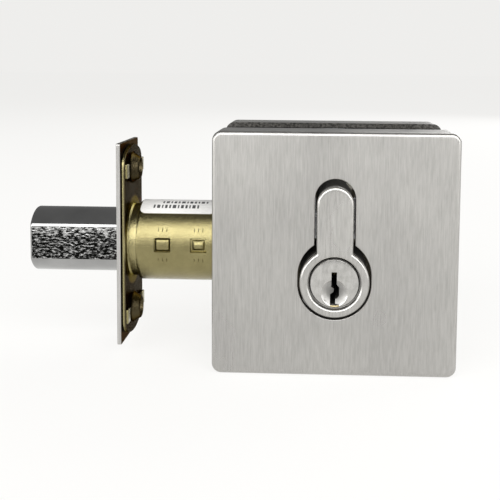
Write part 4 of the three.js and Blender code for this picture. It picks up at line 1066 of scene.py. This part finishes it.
FLOOR_HALF = 12.0
floor_z = rose_low[2] - 0.2 * MM
floor_mesh = bpy.data.meshes.new("floor")
floor_mesh.from_pydata(
    [(x * FLOOR_HALF, y * FLOOR_HALF, floor_z) for x, y in ((-1, -1), (1, -1), (1, 1), (-1, 1))],
    [], [(0, 1, 2, 3)])
floor = new_object("floor", floor_mesh)
pale, tree, surface = shader("pale_floor", (0.16, 0.16, 0.16), 1.0, 0.0)
surface.inputs["Specular IOR Level"].default_value = 0.0
surface.inputs["Emission Color"].default_value = (0.82, 0.815, 0.8, 1)
surface.inputs["Emission Strength"].default_value = 1.0
floor_mesh.materials.append(pale)
floor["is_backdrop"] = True

world = bpy.data.worlds.new("studio")
bpy.context.scene.world = world
world.use_nodes = True
sky = world.node_tree
seen = sky.nodes.new("ShaderNodeLightPath")
room = blend_colors(sky, seen.outputs["Is Camera Ray"], (0.2, 0.2, 0.2), (0.86, 0.855, 0.84))
sky.links.new(room, sky.nodes["Background"].inputs["Color"])


def soft_box(name, place_at, width, height, brightness):
    """A rectangular area light that looks at the origin; its power follows from its brightness and size."""
    lamp = bpy.data.lights.new(name, "AREA")
    lamp.shape = "RECTANGLE"
    lamp.size, lamp.size_y = width, height
    lamp.energy = brightness * math.pi * width * height
    piece = new_object(name, lamp)
    piece.location = place_at
    piece.rotation_mode = "QUATERNION"
    piece.rotation_quaternion = (-Vector(place_at)).to_track_quat("-Z", "Y")


soft_box("front_box", (0, -0.84, 0.54), 2.2, 0.82, 3.4)
soft_box("left_box", (-1.0, -0.45, 0.16), 1.0, 0.5, 2.6)
soft_box("back_box", (0.6, 0.8, 0.55), 1.1, 0.9, 2.6)
soft_box("right_box", (1.0, -0.45, 0.16), 1.0, 0.5, 1.8)
bpy.context.scene.view_settings.view_transform = "Standard"

# ------------------------------------------------------------------ camera
# Close in front of the exterior rose and a little above it.

YAW, PITCH, ROLL = math.radians(2.45), math.radians(5.23), math.radians(0.47)
LENS_PIXELS = 894.6
IMAGE_PIXELS = 500
SENSOR_WIDTH = 36
CAMERA_AT = (-6.0 * MM, -258.1 * MM, 50.4 * MM)
turn_yaw, turn_pitch = Matrix.Rotation(YAW, 3, "Y"), Matrix.Rotation(PITCH, 3, "X")
turn_roll = Matrix.Rotation(ROLL, 3, "Z")
look = turn_roll @ turn_pitch @ turn_yaw @ Matrix(((1, 0, 0), (0, 0, -1), (0, 1, 0)))
camera_data = bpy.data.cameras.new("camera")
camera = new_object("camera", camera_data)
axes = Matrix((look[0], -look[1], -look[2])).transposed()
camera.matrix_world = Matrix.Translation(CAMERA_AT) @ axes.to_4x4()
camera_data.sensor_width = SENSOR_WIDTH
camera_data.lens = LENS_PIXELS / IMAGE_PIXELS * SENSOR_WIDTH
camera_data.shift_x, camera_data.shift_y = -0.05, -0.2
camera_data.clip_start, camera_data.clip_end = 0.01, 20
bpy.context.scene.camera = camera

low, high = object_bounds()
